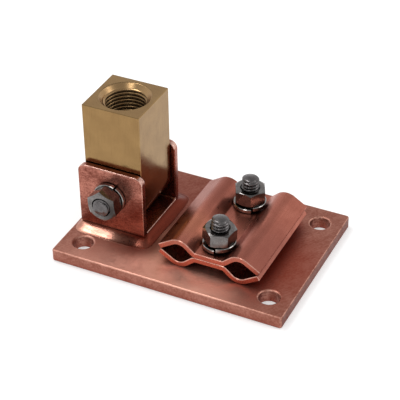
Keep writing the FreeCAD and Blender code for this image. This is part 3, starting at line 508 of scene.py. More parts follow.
    def material(self) -> Material:
        """Build the material, whose colours lie one over the other by their shares.

        Returns:
            The material.
        """
        material = bpy.data.materials.new(self.name)
        material.use_nodes = True
        tree = material.node_tree
        tree.nodes.clear()
        spot = add_node(tree, "ShaderNodeTexCoord")
        relief, total = self.pattern(tree, spot.outputs["Object"])
        span = {"Value": total, "From Min": TONE_SUMS[0], "From Max": TONE_SUMS[1]}
        shade = {**span, "To Min": self.contrast, "To Max": 0.0}
        layers = [(add_node(tree, "ShaderNodeMapRange", shade).outputs["Result"], self.dark)]
        # Patches of painted light and shade lie over the tone.
        layers += [(self.bloom_share(tree, spot, bloom), bloom.colour) for bloom in self.blooms]
        dull, bright = self.roughness + DULL_HOLLOWS, self.roughness - BRIGHT_CRESTS
        shine = {**span, "To Min": dull, "To Max": bright}
        gloss = add_node(tree, "ShaderNodeMapRange", shine).outputs["Result"]
        # Worn edges take a pale colour that paints their highlight, and are smoother.
        if self.edge_rule is not EdgeRule.NONE:
            worn = self.worn_share(tree, spot.outputs["Normal"], total)
            layers.append((worn, self.worn))
            rubbed = {0: worn, 1: -WEAR_POLISH, 2: gloss}
            gloss = add_node(
                tree, "ShaderNodeMath", rubbed, operation="MULTIPLY_ADD", use_clamp=True
            ).outputs[0]
        # Corners and hollows take a dark colour that paints their shade.
        layers.append((self.dirt_mask(tree), self.soot))
        colour = linear_colour(self.light)
        for share, upper in layers:
            # A Mix node's colours go by number, 6 and 7, because A and B name others too.
            mix = {"Factor": share, 6: colour, 7: linear_colour(upper)}
            colour = add_node(tree, "ShaderNodeMix", mix, data_type="RGBA").outputs[2]
        height = {"Height": relief, "Strength": 1.0, "Distance": self.grain_depth * MM}
        skin = {
            "Base Color": colour,
            "Metallic": self.metallic,
            "Roughness": gloss,
            "Normal": add_node(tree, "ShaderNodeBump", height).outputs["Normal"],
        }
        shader = add_node(tree, "ShaderNodeBsdfPrincipled", skin)
        add_node(tree, "ShaderNodeOutputMaterial", {"Surface": shader.outputs["BSDF"]})
        return material


# The ways that the plate's right side, the front ear and the clamp's right slope look, for the
# patches of painted light and shade on them.
PLATE_RIGHT = (1.0, 0.0, 0.0)
EAR_FRONT = (0.0, -1.0, 0.0)
CLAMP_RIGHT = (0.6, 0.0, 0.8)

# Real brushing and drawing lines lie 0.02 to 0.05 mm apart, too fine to show in the render,
# so the streaks below are drawn 0.15 to 0.6 mm apart.

# Rolled copper bar, pickled and tumbled: a satin red-brown skin with short crossing marks. Patches
# paint a sheen in front, light in the clamp's shade, and shade elsewhere; its bright red corner
# colour also paints the clamp's red reflection.
PLATE_COPPER = MetalFinish(
    name="tumbled_copper_bar",
    light="#AC7464",
    dark="#844737",
    soot="#842A18",
    roughness=0.46,
    streaks=Streaks(width=0.6, length=2.4, turn=(0.0, 0.0, 60.0)),
    worn="#DDA896",
    grain_size=0.8,
    # In order: painted shade in the middle, a painted sheen in front, painted light in the clamp's
    # shade, painted shade at the braze's front corner, painted shade and red reflection right of
    # the clamp, and painted shade on the right side face.
    blooms=(
        Bloom((-6.0, 10.0, 4.8), 12.0, 46.0, "#742818", 0.5),
        Bloom((-3.0, -34.0, 4.8), 12.0, 44.0, "#FABBA6", 1.0),
        Bloom((13.0, -24.0, 4.8), 5.0, 17.0, "#F6BCA6", 0.8),
        Bloom((-16.0, -15.0, 4.8), 3.0, 11.0, "#6A2A1C", 0.75),
        Bloom((30.0, -6.0, 4.8), 5.0, 30.0, "#94341E", 0.6),
        Bloom((44.4, 0.0, 2.4), 40.0, 60.0, "#663022", 0.75, facing=PLATE_RIGHT),
    ),
    metallic=0.95,
    dirt_reach=5.0,
    dirt_share=0.75,
)
# Copper strip bent cold and heated by the braze: strongly mottled, its edges polished, with a
# painted highlight on them. On the front ear, patches paint shade at the right middle and at the
# lower left, and paint light at the lower right.
STRIP_COPPER = MetalFinish(
    name="mottled_copper_strip",
    light="#B87868",
    dark="#6A3428",
    soot="#38130C",
    roughness=0.28,
    streaks=Streaks(width=0.6, length=1.8),
    worn="#F6D2C4",
    grain_depth=0.03,
    cloud_size=4.0,
    contrast=0.9,
    dirt_reach=2.2,
    dirt_share=0.75,
    blooms=(
        Bloom((-18.0, -14.0, 17.5), 2.0, 8.5, "#5A2014", 0.7, facing=EAR_FRONT),
        Bloom((-38.0, -14.0, 10.0), 2.0, 10.0, "#5A2014", 0.45, facing=EAR_FRONT),
        Bloom((-17.5, -14.0, 8.5), 1.5, 7.0, "#C88472", 0.35, facing=EAR_FRONT),
    ),
)
# Copper sheet pressed between dies: the same skin, brushed along the channels. Patches paint a
# darker red reflection at the rear, a sheen on the front of the left channel and shade on the right
# slope.
CLAMP_COPPER = MetalFinish(
    name="pressed_copper_sheet",
    light="#B8705F",
    dark="#82412F",
    soot="#2A0F0B",
    roughness=0.31,
    streaks=Streaks(width=0.3, length=9.0, turn=(0.0, 0.0, 90.0)),
    worn="#F0BBAA",
    grain_depth=0.01,
    contrast=0.45,
    edge_rule=EdgeRule.ENDS,
    dirt_share=0.7,
    blooms=(
        Bloom((0.0, 16.0, 9.0), 8.0, 20.0, "#8C5044", 0.6),
        Bloom((-2.0, -10.0, 7.0), 4.0, 15.0, "#DC9068", 0.55),
        Bloom((31.0, -12.0, 7.0), 8.0, 24.0, "#7C4840", 0.45, facing=CLAMP_RIGHT),
    ),
)
# Copper alloy braze that ran out and was wire brushed: smooth and glossy. A pale patch paints its
# highlight in front, and two patches of painted shade together cover the run's right side, whose
# faces look half upward.
BRAZE_METAL = MetalFinish(
    name="wire_brushed_braze",
    light="#9E6050",
    dark="#743A2C",
    soot="#451208",
    roughness=0.31,
    streaks=Streaks(width=0.3, length=1.2),
    grain_depth=0.0015,
    cloud_size=3.0,
    contrast=0.6,
    edge_rule=EdgeRule.NONE,
    dirt_reach=3.5,
    blooms=(
        Bloom((-34.0, -16.5, 5.5), 6.0, 16.0, "#E8AE98", 0.65),
        Bloom((-8.0, 3.0, 5.0), 17.0, 23.0, "#6E2E20", 1.0),
        Bloom((-8.0, 3.0, 5.0), 15.0, 21.0, "#6E2E20", 1.0),
    ),
)
# Drawn free-cutting brass bar: fine lines along the bar and a brown tarnish.
DRAWN_BRASS = MetalFinish(
    name="drawn_brass_bar",
    light="#9B7C52",
    dark="#795B3A",
    soot="#2B190C",
    roughness=0.17,
    streaks=Streaks(width=0.16, length=12.0, turn=(0.0, 90.0, 0.0)),
    worn="#CDB07E",
    grain_size=0.35,
    grain_depth=0.002,
    cloud_size=6.0,
    contrast=0.5,
    edge_share=0.15,
)
# The same brass freshly cut inside the hole: paler, with painted shade in the roots and down the
# hole.
CUT_BRASS = replace(
    DRAWN_BRASS,
    name="cut_brass_thread",
    light="#AA8A62",
    dark="#7E6040",
    soot="#120A05",
    roughness=0.28,
    grain_depth=0.001,
    contrast=0.3,
    edge_rule=EdgeRule.NONE,
    dirt_reach=9.0,
    dirt_share=0.95,
)
# Cold-formed stainless steel: grey, fairly bright, with handling marks. The patch paints a dark
# reflection on the pivot nut's face.
PLAIN_STEEL = MetalFinish(
    name="cold_formed_steel",
    light="#868280",
    dark="#4A4646",
    soot="#141010",
    roughness=0.15,
    streaks=Streaks(width=0.15, length=0.8, turn=(0.0, 90.0, 0.0)),
    grain_size=0.3,
    grain_depth=0.002,
    cloud_size=2.0,
    edge_rule=EdgeRule.NONE,
    dirt_reach=1.2,
    dirt_share=0.9,
    blooms=(Bloom((-24.5, -21.0, 19.5), 1.0, 9.0, "#383230", 0.9, facing=EAR_FRONT),),
)
# The same steel rolled into threads and left unpolished: duller, with painted shade in the roots.
THREAD_STEEL = replace(
    PLAIN_STEEL,
    name="rolled_thread_steel",
    light="#767272",
    dark="#464242",
    roughness=0.27,
    grain_depth=0.001,
    dirt_reach=0.9,
    dirt_share=1.0,
    blooms=(),
)
# Spring steel wire coiled flat: a lighter grey, polished by the nut.
SPRING_STEEL = replace(
    PLAIN_STEEL,
    name="coiled_spring_steel",
    light="#A8A4A0",
    dark="#5C5857",
    roughness=0.16,
    streaks=Streaks(width=0.2, length=0.6),
    grain_depth=0.004,
    dirt_reach=0.8,
    blooms=(),
)


@dataclass(frozen=True)
class ThreadForm:
    """A 60 degree screw thread with rounded crests and roots.

    Attributes:
        pitch: Distance between crests.
        depth: Crest to root, square to the axis.
        rows: Rings of points in one pitch.
        flat: Share of the flank that stays level at the crest, and again in the root.
    """

    pitch: float
    depth: float
    rows: int = 12
    flat: float = 0.1

    def groove(self, height: np.ndarray, angle: np.ndarray) -> np.ndarray:
        """Give the thread's depth at a height and angle.

        The phase is the height over the pitch, less the angle over a full turn. The depth
        rises and falls evenly with the phase, and easing rounds its crest and root.

        Args:
            height: Heights along the axis.
            angle: Angles about the axis.

        Returns:
            Depths from 0 on a crest to the full depth in a root.
        """
        phase = (height / self.pitch - angle / FULL_TURN) % 1.0
        ramp = 1 - np.abs(2 * phase - 1)
        return self.depth * smooth_step((ramp - self.flat) / (1 - 2 * self.flat))


@dataclass
class RodSocket:
    """The brass socket: its CAD node with a lining that carries the mouth and the thread.

    Attributes:
        axis_x: Middle of the socket along X.
        top: Top face above the plate's underside.
        bore: Radius of the smooth hole.
        mouth: Radius of the mouth chamfer at the top face.
        length: Depth of the straight hole below the top face.
        skin: How far the lining runs into the wall around it.
        film: How far the lining stands out of the wall.
        mouth_rows: Rings of points down the mouth chamfer.
        columns: Points around the hole.
        growth: How many times faster than in one turn the ridge grows below the mouth.
        thread: The 5/8 in fine thread.
    """

    axis_x: float = SWIVEL_X
    top: float = 54.9
    bore: float = 7.9375
    mouth: float = 9.5
    length: float = 22.0
    skin: float = 0.15
    film: float = 0.02
    mouth_rows: int = 6
    columns: int = 144
    growth: float = 3.0
    thread: ThreadForm = ThreadForm(pitch=1.4111, depth=0.8)

    def lining_rings(self) -> np.ndarray:
        """Work out the lining as rings down the mouth and the thread and up behind the wall.

        The mouth is a cone, whose radius is the mouth's less the depth below the top face.
        Below it the radius is the bore's less the thread's ridge, where the ridge is the
        full depth less the groove. The ridge grows over the first third of a turn below
        the mouth and fades out over the last turn. The way back up runs a skin's depth
        inside the wall.

        Returns:
            Points as (ring, point, xyz), from the middle of the top face.
        """
        start = self.mouth - self.bore
        count = int(self.thread.rows * (self.length - start) / self.thread.pitch)
        angle = np.linspace(0, FULL_TURN, self.columns, endpoint=False)[None, :]
        cone = np.linspace(0, start, self.mouth_rows, endpoint=False)[:, None]
        cut = np.linspace(start, self.length, count)[:, None]
        ridge = self.thread.depth - self.thread.groove(cut, angle)
        ridge = ridge * smooth_step((self.length - cut) / self.thread.pitch)
        ridge = ridge * smooth_step(self.growth * (cut - start) / self.thread.pitch)
        plain = np.ones_like(angle)
        depth = np.vstack((cone, cut))
        radius = np.vstack(((self.mouth - cone) * plain, self.bore - ridge)) - self.film
        back = np.array([[self.length], [start], [self.skin]])
        behind = np.maximum(self.bore, self.mouth - back) + self.skin
        radius = np.vstack((radius, behind * plain))
        down = np.vstack((depth, back)) * plain
        return polar_points(radius, angle, -down)

    def build(self, node: Object, drawn: Material, cut: Material) -> None:
        """Dress the socket and add its threaded lining.

        Args:
            node: The socket's CAD node.
            drawn: Finish of the socket.
            cut: Finish of the lining.
        """
        dress_node(node, drawn)
        placing = Placing((self.axis_x, 0.0, self.top), Matrix.Identity(3))
        lining = closed_rings("rod_thread_lining", self.lining_rings(), placing, caps=False)
        dress(lining, cut)
        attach(lining, Carrier.SOCKET.value)


@dataclass
class Bolt:
    """A bolt with a rolled thread, a domed end and a flush or hexagon head.

    Its own origin is the middle of the flush head's flat face or of the hexagon head's
    seat, and the shank runs along its own +Z.

    Attributes:
        name: The piece's name.
        node: The CAD node that it stands for.
        placing: Where the bolt stands.
        kind: How the head is formed.
        length: From the origin to the end.
        thread_start: Where the thread begins, from the origin.
        shank: Radius of the thread's crests.
        tip: Radius where the end's taper stops.
        taper: Length of the end's taper.
        dome: Height of the domed end.
        head_radius: Radius of the flush head.
        head_land: Straight rim of the flush head.
        head_cone: Half of the flush head's cone, in degrees.
        slot_half_length: Half of the flush head's driver slot along X.
        slot_half_width: Half of the flush head's driver slot along Y.
        slot_depth: Depth of the driver slot.
        slot_middle: Share of the slot's outline at which its floor's inmost ring lies.
        rim: Bevel of the flush head's rim.
        flats: Hexagon head across its flats.
        face_radius: Round face of the hexagon head.
        face_middle: Radius of the inmost ring of that face.
        face_fall: Angle at which the hexagon's corners fall away, in degrees.
        face_rows: Rings of points down those corners.
        head_height: Height of the hexagon head.
        neck: Distance from the head to the shank's first ring.
        neck_rows: Rings of points on the shank before its thread.
        end_shares: Shares of the tip's radius at the domed end's first and last rings.
        end_rows: Rings of points on the domed end.
        crease: Angle past which an edge is sharp, in degrees.
        thread: The 1/4 in coarse thread.
        columns: Points around the bolt.
    """

    name: str
    node: str
    placing: Placing
    kind: HeadKind
    length: float
    thread_start: float
    shank: float = 3.17
    tip: float = 2.45
    taper: float = 0.75
    dome: float = 0.35
    head_radius: float = 6.0
    head_land: float = 0.3
    head_cone: float = 41.0
    slot_half_length: float = 5.6
    slot_half_width: float = 0.75
    slot_depth: float = 1.3
    slot_middle: float = 0.1
    rim: float = 0.1
    flats: float = 10.5
    face_radius: float = 5.1
    face_middle: float = 0.3
    face_fall: float = 30.0
    face_rows: int = 5
    head_height: float = 4.1
    neck: float = 0.05
    neck_rows: int = 2
    end_shares: tuple[float, float] = (0.92, 0.08)
    end_rows: int = 6
    crease: float = 35.0
    thread: ThreadForm = ThreadForm(pitch=1.27, depth=0.7)
    columns: int = 72

    def cone_height(self) -> float:
        """Give the height of the flush head's cone: its fall in radius over its tangent."""
        return (self.head_radius - self.shank) / math.tan(math.radians(self.head_cone))

    def flush_rings(self, angle: np.ndarray) -> np.ndarray:
        """Work out a countersunk head with its driver slot.

        The slot is a rectangle about the axis: its radius is the smaller of the half
        length over |cos| and the half width over |sin|. Outside it come the flat face, a
        short straight rim and the cone down to the shank.

        Args:
            angle: Angles about the axis.

        Returns:
            Points as (ring, point, xyz).
        """
        with np.errstate(divide="ignore"):
            slot = np.minimum(
                self.slot_half_length / np.abs(np.cos(angle)),
                self.slot_half_width / np.abs(np.sin(angle)),
            )
        land = self.head_land
        plain = np.ones_like(angle)
        rims = (self.head_radius - self.rim, self.head_radius, self.head_radius, self.shank)
        radius = np.vstack((self.slot_middle * slot, slot, slot, np.outer(rims, plain)))
        floors = (self.slot_depth, self.slot_depth, 0, 0)
        height = np.outer((*floors, self.rim, land, land + self.cone_height()), plain)
        return polar_points(radius, angle, height)

    def hexagon_rings(self, angle: np.ndarray) -> np.ndarray:
        """Work out a hexagon head, from its outer face to its seat.

        Its radius is half its flats over the cosine of the angle from the nearest flat,
        and its outer face falls away evenly beyond the round face.

        Args:
            angle: Angles about the axis.

        Returns:
            Points as (ring, point, xyz).
        """
        sixth = FULL_TURN / 6
        from_flat = (angle + sixth / 2) % sixth - sixth / 2
        hexagon = self.flats / 2 / np.cos(from_flat)
        share = np.linspace(0, 1, self.face_rows)[:, None]
        chamfer = self.face_radius + (hexagon - self.face_radius) * share
        fall = (chamfer - self.face_radius) * math.tan(math.radians(self.face_fall))
        plain = np.ones_like(angle)
        radius = np.vstack((self.face_middle * plain, chamfer, hexagon, self.shank * plain))
        face = np.vstack((0 * plain, fall)) - self.head_height
        height = np.vstack((face, 0 * plain, 0 * plain))
        return polar_points(radius, angle, height)

    def shank_rings(self, angle: np.ndarray) -> np.ndarray:
        """Work out the threaded shank and its domed end.

        The crest radius falls along the taper to the tip. The groove is taken from it,
        and fades in over one pitch. The end is a shallow dome, whose height is the dome's
        times the cosine of the share of the tip's radius, turned to a quarter turn.

        Args:
            angle: Angles about the axis.

        Returns:
            Points as (ring, point, xyz).
        """
        start = self.thread_start
        flush = self.kind is HeadKind.FLUSH
        first = (self.head_land + self.cone_height() if flush else 0.0) + self.neck
        rim = self.length - self.dome
        count = int(self.thread.rows * (rim - start) / self.thread.pitch)
        plain = np.linspace(first, start, self.neck_rows, endpoint=False)
        height = np.append(plain, np.linspace(start, rim, count))[:, None]
        past = smooth_step((height - start) / self.thread.pitch)
        narrowed = np.clip((height - rim + self.taper) / self.taper, 0, 1)
        crest = self.shank - (self.shank - self.tip) * narrowed
        radius = crest - self.thread.groove(height, angle[None, :]) * past
        shares = np.linspace(*self.end_shares, self.end_rows)[:, None]
        end_height = rim + self.dome * np.cos(shares * math.pi / 2)
        height = np.vstack((height, end_height))
        radius = np.vstack((radius, radius[-1][None, :] * shares))
        height = np.broadcast_to(height, radius.shape)
        return polar_points(radius, angle, height)

    def build(self, finish: Material) -> None:
        """Make the bolt in place of its CAD node.

        Args:
            finish: Finish of the bolt.
        """
        angle = np.linspace(0, FULL_TURN, self.columns, endpoint=False)
        flush = self.kind is HeadKind.FLUSH
        head = self.flush_rings(angle) if flush else self.hexagon_rings(angle)
        rings = np.concatenate((head, self.shank_rings(angle)))
        piece = closed_rings(self.name, rings, self.placing, caps=True)
        piece.data.set_sharp_from_angle(angle=math.radians(self.crease))
        dress(piece, finish)
        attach(piece, Carrier.BASE.value)
        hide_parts(self.node)


@dataclass
class BrazeBead:
    """The braze that ran out round the bracket's foot, in place of its plain CAD ring.

    Attributes:
        centre_x: Middle of the bracket's foot along X.
        plate_top: Height of the plate's top face.
        foot_half_x: Half of the strip's width.
        foot_half_y: Bracket's middle to an ear's outer face.
        reach_right: Run of the braze past the foot's right edge.
        reach_left: Run of the braze past the foot's left edge.
        reach_ends: Run of the braze past an ear.
        crest_sides: Height of the bead beside the foot, just under its top edge.
        crest_ends: Height of the bead against an ear.
        buried: How far the bead runs into the foot.
        foot_power: Power of the foot's superellipse, nearly a rectangle.
        toe_power: Power of the toe's superellipse, with rounder corners.
        flank_power: Power that sets how hollow the flank is.
        corner: How fast the crest's height changes at the foot's corners, and where.
        waves: Size, number round the foot and phase of each sine of the toe's wander.
        crest_wander: Share of that wander that the crest follows beside the ears.
        film: How far the toe stands above the plate.
        root_runs: How far inside the foot two of the points lie that close a section.
        root_heights: Heights of the three closing points above the plate's top.
        columns: Points around the foot.
        rows: Points up the flank.
    """

    centre_x: float = SWIVEL_X
    plate_top: float = 4.7625
    foot_half_x: float = 12.9
    foot_half_y: float = EAR_Y
    reach_right: float = 3.6
    reach_left: float = 1.8
    reach_ends: float = 4.8
    crest_sides: float = 2.15
    crest_ends: float = 1.65
    buried: float = 0.8
    foot_power: int = 40
    toe_power: int = 9
    flank_power: float = 1.2
    corner: tuple[float, float] = (6.0, 0.8)
    waves: tuple[Triple, ...] = ((0.14, 4, 0.7), (0.05, 9, 2.1), (0.02, 17, 4.0))
    crest_wander: float = 0.3
    film: float = 0.01
    root_runs: tuple[float, float] = (2.0, 1.0)
    root_heights: Triple = (1.0, -0.02, -0.02)
    columns: int = 480
    rows: int = 26

    def rings(self) -> np.ndarray:
        """Work out the bead as closed sections set round the foot.

        Seen from above, the foot and the bead's toe are two superellipses: the distance
        from the middle at an angle is (|cos / a|^n + |sin / b|^n)^(-1/n), with the half
        widths a and b. With the share s of the way out, the flank is 1 less the eased
        step of s to the flank's power: full at the foot, hollow at the toe, and level
        with the plate where it ends. Three sines of the angle let the toe and the crest
        wander as poured metal does.

        Returns:
            Points as (row, point, xyz), from the foot's middle on the plate.
        """
        angle = np.linspace(0, FULL_TURN, self.columns, endpoint=False)
        cosine, sine = np.cos(angle), np.sin(angle)
        wander = sum(size * np.sin(count * angle + phase) for size, count, phase in self.waves)
        inner_a = self.foot_half_x - self.buried
        inner_b = self.foot_half_y - self.buried
        outer_a = self.foot_half_x + np.where(cosine > 0, self.reach_right, self.reach_left)
        outer_b = self.foot_half_y + self.reach_ends
        inner, outer = (
            (np.abs(cosine / a) ** n + np.abs(sine / b) ** n) ** (-1 / n)
            for a, b, n in ((inner_a, inner_b, self.foot_power), (outer_a, outer_b, self.toe_power))
        )
        outer = outer + wander
        pace, shift = self.corner
        past_corner = (np.abs(sine) / inner_b - np.abs(cosine) / inner_a) * inner_a
        at_end = smooth_step(pace * past_corner + shift)
        crest = self.crest_sides + (self.crest_ends - self.crest_sides) * at_end
        share = np.linspace(1, 0, self.rows)[:, None]
        radius = inner + (outer - inner) * share
        lift = 1 - smooth_step(share**self.flank_power)
        height = lift * (crest + self.crest_wander * wander * at_end) + self.film
        # Two of the points that close a section lie inside the foot, the third under the bead.
        closing = (inner - self.root_runs[0], inner - self.root_runs[1], (inner + outer) / 2)
        depth = np.outer(self.root_heights, np.ones_like(angle))
        return polar_points(np.vstack((radius, *closing)), angle, np.vstack((height, depth)))

    def build(self, finish: Material) -> None:
        """Make the bead in place of its CAD node.

        Args:
            finish: Finish of the bead.
        """
        placing = Placing((self.centre_x, 0.0, self.plate_top), Matrix.Identity(3))
        bead = closed_rings("braze_bead", self.rings(), placing, caps=False)
        dress(bead, finish)
        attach(bead, Carrier.BASE.value)
        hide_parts("braze_fillet")


@dataclass(frozen=True)
class Softbox:
    """A square lamp that looks at the object.

    Attributes:
        name: The lamp's name.
        place: Position in metres.
        side: Side of the lamp in metres.
        power: Power in watts.
        target: The point that the lamp looks at, in metres.
    """

    name: str
    place: Triple
    side: float
    power: float
    target: Triple = (0.0, 0.0, 0.02)

    def build(self) -> None:
        """Hang the lamp."""
        light = bpy.data.lights.new(self.name, "AREA")
        light.shape = "SQUARE"
        light.size = self.side
        light.energy = self.power
        lamp = bpy.data.objects.new(self.name, light)
        aim = Vector(self.target) - Vector(self.place)
        lamp.rotation_euler = aim.to_track_quat("-Z", "Y").to_euler()
        lamp.location = self.place
        bpy.context.scene.collection.objects.link(lamp)


def seen_directly(tree: NodeTree) -> NodeSocket:
    """Tell the rays that show a surface from those that only carry its light.

    Args:
        tree: The node tree to add to.

    Returns:
        A socket that is 1 on camera, mirror and transmission rays, and 0 on others.
    """
    path = add_node(tree, "ShaderNodeLightPath").outputs
    pair = {0: path["Is Camera Ray"], 1: path["Is Glossy Ray"]}
    seen = add_node(tree, "ShaderNodeMath", pair, operation="MAXIMUM")
    pair = {0: seen.outputs[0], 1: path["Is Transmission Ray"]}
    return add_node(tree, "ShaderNodeMath", pair, operation="MAXIMUM").outputs[0]


@dataclass
class Studio:
    """A white floor, a white surround, soft lamps and the photograph's camera.

    Attributes:
        camera_place: Camera position in metres.
        camera_right: The camera's right in the shared frame.
        camera_down: The camera's down in the shared frame.
        camera_ahead: The camera's view direction in the shared frame.
        camera_clip: Nearest and farthest distance that the camera shows, in metres.
        focal_pixels: Focal length in pixels of the 400 pixel frame.
        frame_pixels: Width of the frame in pixels.
        rise_pixels: How far the optical axis lies below the frame's middle.
        sensor: Width of the sensor.
        floor_half: Half of the floor's side in metres.
        floor_drop: How far the floor lies under the plate, in metres.
        floor_colour: Colour of the matt floor.
        floor_glow: Light that the floor adds of itself, as seen.
        surround: Strength of the surround on matt surfaces.
        backdrop_rise: Upward parts of the directions where the white backdrop starts to
            darken and where the ceiling starts.
        ceiling: Strength of the ceiling as seen in metal.
        lamps: The soft lamps.
    """

    camera_place: Triple = (0.17946, -0.36573, 0.31343)
    camera_right: Triple = (0.90034, 0.43506, -0.01095)
    camera_down: Triple = (0.24697, -0.53149, -0.81027)
    camera_ahead: Triple = (-0.35833, 0.72681, -0.58596)
    camera_clip: tuple[float, float] = (0.01, 20.0)
    focal_pixels: float = 1416.3
    frame_pixels: float = 400.0
    rise_pixels: float = 0.84
    sensor: float = 36.0
    floor_half: float = 3.0
    floor_drop: float = 1e-4
    floor_colour: str = "#DCDCDC"
    floor_glow: float = 0.38
    surround: float = 0.75
    backdrop_rise: tuple[float, float] = (0.3, 1.0)
    ceiling: float = 0.4
    lamps: tuple[Softbox, ...] = (
        Softbox("left_softbox", (-0.375, 0.04, 0.785), 0.26, 1.8),
        Softbox("front_softbox", (-0.09, -0.52, 0.72), 0.25, 0.8),
        Softbox("right_softbox", (0.62, 0.28, 0.55), 0.3, 0.9),
    )

    def floor_material(self) -> Material:
        """Build the floor's matt white, which glows only as seen, not on the object.

        Returns:
            The material.
        """
        material = bpy.data.materials.new("white_studio_floor")
        material.use_nodes = True
        tree = material.node_tree
        tree.nodes.clear()
        pair = {0: seen_directly(tree), 1: self.floor_glow}
        glow = add_node(tree, "ShaderNodeMath", pair, operation="MULTIPLY")
        shine = {"Color": WHITE, "Strength": glow.outputs[0]}
        matt = {"Color": linear_colour(self.floor_colour)}
        both = {
            0: add_node(tree, "ShaderNodeEmission", shine).outputs[0],
            1: add_node(tree, "ShaderNodeBsdfDiffuse", matt).outputs[0],
        }
        surface = add_node(tree, "ShaderNodeAddShader", both).outputs[0]
        add_node(tree, "ShaderNodeOutputMaterial", {"Surface": surface})
        return material

    def build_floor(self) -> None:
        """Lay the floor just under the plate."""
        turns = ((-1, -1), (1, -1), (1, 1), (-1, 1))
        half = self.floor_half
        corners = [(x * half, y * half, -self.floor_drop) for x, y in turns]
        mesh = bpy.data.meshes.new("studio_floor")
        mesh.from_pydata(corners, [], [(0, 1, 2, 3)])
        floor = bpy.data.objects.new("studio_floor", mesh)
        bpy.context.scene.collection.objects.link(floor)
        floor.data.materials.append(self.floor_material())

    def build_surround(self) -> None:
        """Make the surround white round the floor and darker overhead, as a studio is.

        Matt surfaces get one even level instead.
        """
        world = bpy.data.worlds.new("white_surround")
        bpy.context.scene.world = world
        world.use_nodes = True
        tree = world.node_tree
        tree.nodes.clear()
        way = add_node(tree, "ShaderNodeTexCoord").outputs["Generated"]
        fall = {
            "Value": add_node(tree, "ShaderNodeSeparateXYZ", {0: way}).outputs["Z"],
            "From Min": self.backdrop_rise[0],
            "From Max": self.backdrop_rise[1],
            "To Min": 1.0,
            "To Max": self.ceiling,
        }
        backdrop = add_node(tree, "ShaderNodeMapRange", fall, interpolation_type="SMOOTHSTEP")
        choice = {
            "Value": seen_directly(tree),
            "To Min": self.surround,
            "To Max": backdrop.outputs["Result"],
        }
        level = add_node(tree, "ShaderNodeMapRange", choice).outputs["Result"]
        sky = add_node(tree, "ShaderNodeBackground", {"Color": WHITE, "Strength": level})
        add_node(tree, "ShaderNodeOutputWorld", {"Surface": sky.outputs[0]})

    def build_camera(self) -> None:
        """Set the camera by its measured axes."""
        camera = bpy.data.cameras.new("photo_camera")
        camera.sensor_fit = "HORIZONTAL"
        camera.sensor_width = self.sensor
        camera.lens = self.focal_pixels / self.frame_pixels * self.sensor
        camera.shift_y = self.rise_pixels / self.frame_pixels
        camera.clip_start, camera.clip_end = self.camera_clip
        holder = bpy.data.objects.new("photo_camera", camera)
        right = Vector(self.camera_right)
        up = -Vector(self.camera_down)
        back = -Vector(self.camera_ahead)
        turn = Matrix((right, up, back)).transposed().to_4x4()
        holder.matrix_world = Matrix.Translation(self.camera_place) @ turn
        bpy.context.scene.collection.objects.link(holder)
        bpy.context.scene.camera = holder

    def build(self) -> None:
        """Build the floor, the surround, the lamps and the camera."""
        self.build_floor()
        self.build_surround()
        for lamp in self.lamps:
            lamp.build()
        self.build_camera()
        bpy.context.scene.view_settings.view_transform = "Standard"


@dataclass(frozen=True)
class FastenerFinishes:
    """The finishes of the steel parts.

    Attributes:
        plain: Nuts.
        thread: Bolts and screws.
        spring: Spring washers.
    """

    plain: Material
    thread: Material
    spring: Material


@dataclass
class Clamp:
    """The two folded clamp plates with their screws, spring washers and nuts.

    Attributes:
        centre_x: Middle of the clamp along X.
        screw_y: Distance of a screw from the middle along Y.
        screw_foot: Bottom of a screw above the plate's underside.
        screw_top: End of a screw above the plate's underside.
        leans: Lean of the front and the rear screw towards +X, in degrees.
        thread_start: Where a screw's thread begins, from its foot.
    """

    centre_x: float = 12.4
    screw_y: float = 13.3
    screw_foot: float = 0.4
    screw_top: float = 24.8
    leans: tuple[float, float] = (2.5, 1.0)
    thread_start: float = 5.0

    def build(
        self,
        nodes: dict[str, Object],
        copper: Material,
        fasteners: FastenerFinishes,
    ) -> None:
        """Dress the clamp plates, washers and nuts, and make the screws.

        Args:
            nodes: The CAD nodes by name.
            copper: Finish of the clamp plates.
            fasteners: Finishes of the steel parts.
        """
        for name in ("clamp_upper", "clamp_lower"):
            dress_node(nodes[name], copper)
        for side, sign, lean in zip(("front", "rear"), (-1, 1), self.leans):
            dress_node(nodes[f"clamp_spring_washer_{side}"], fasteners.spring)
            dress_node(nodes[f"clamp_nut_{side}"], fasteners.plain)
            placing = Placing(
                (self.centre_x, sign * self.screw_y, self.screw_foot),
                Matrix.Rotation(math.radians(lean), 3, "Y"),
            )
            Bolt(
                name=f"threaded_screw_{side}",
                node=f"clamp_screw_{side}",
                placing=placing,
                kind=HeadKind.FLUSH,
                length=self.screw_top - self.screw_foot,
                thread_start=self.thread_start,
            ).build(fasteners.thread)


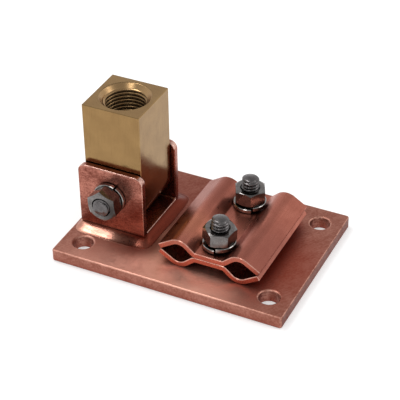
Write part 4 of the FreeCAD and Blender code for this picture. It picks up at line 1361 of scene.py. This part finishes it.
@dataclass
class Swivel:
    """The bracket's pivot: bolt, spring washer and nut, with the socket between the ears.

    Attributes:
        axis_x: Pivot axis along X.
        axis_z: Pivot axis above the plate's underside.
        head_seat: Where the head bears on the rear ear, along Y.
        reach: End of the bolt in front of the middle.
        thread_start: Where the bolt's thread begins, from its head's seat.
        dome: Height of the bolt's domed end.
    """

    axis_x: float = SWIVEL_X
    axis_z: float = 20.7
    head_seat: float = EAR_Y
    reach: float = 22.8
    thread_start: float = 24.0
    dome: float = 0.5

    def build(self, nodes: dict[str, Object], strip: Material, fasteners: FastenerFinishes) -> None:
        """Dress the bracket, washer and nut, and make the pivot bolt.

        Args:
            nodes: The CAD nodes by name.
            strip: Finish of the bracket.
            fasteners: Finishes of the steel parts.
        """
        dress_node(nodes["swivel_bracket"], strip)
        dress_node(nodes["pivot_nut"], fasteners.plain)
        dress_node(nodes["pivot_spring_washer"], fasteners.spring)
        Bolt(
            name="threaded_pivot_bolt",
            node="pivot_bolt",
            placing=Placing(
                (self.axis_x, self.head_seat, self.axis_z),
                Matrix.Rotation(math.radians(90.0), 3, "X"),
            ),
            kind=HeadKind.HEXAGON,
            length=self.reach + self.head_seat,
            thread_start=self.thread_start,
            dome=self.dome,
        ).build(fasteners.thread)


def main() -> None:
    """Load the frame and build every sub-assembly in order."""
    logging.basicConfig(level=logging.INFO, format="%(name)s: %(message)s")
    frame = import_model()
    nodes = frame["nodes"]
    LOG.info("frame loaded with %d nodes", len(nodes))

    steels = (PLAIN_STEEL, THREAD_STEEL, SPRING_STEEL)
    fasteners = FastenerFinishes(*(steel.material() for steel in steels))
    LOG.info("fastener finishes made")

    dress_node(nodes["base_plate"], PLATE_COPPER.material())
    LOG.info("base plate dressed")
    Swivel().build(nodes, STRIP_COPPER.material(), fasteners)
    LOG.info("swivel bracket and pivot built")
    RodSocket().build(nodes["rod_socket"], DRAWN_BRASS.material(), CUT_BRASS.material())
    LOG.info("rod socket built")
    BrazeBead().build(BRAZE_METAL.material())
    LOG.info("braze built")
    Clamp().build(nodes, CLAMP_COPPER.material(), fasteners)
    LOG.info("clamp built")
    Studio().build()
    LOG.info("studio built")


if __name__ == "__main__":
    main()
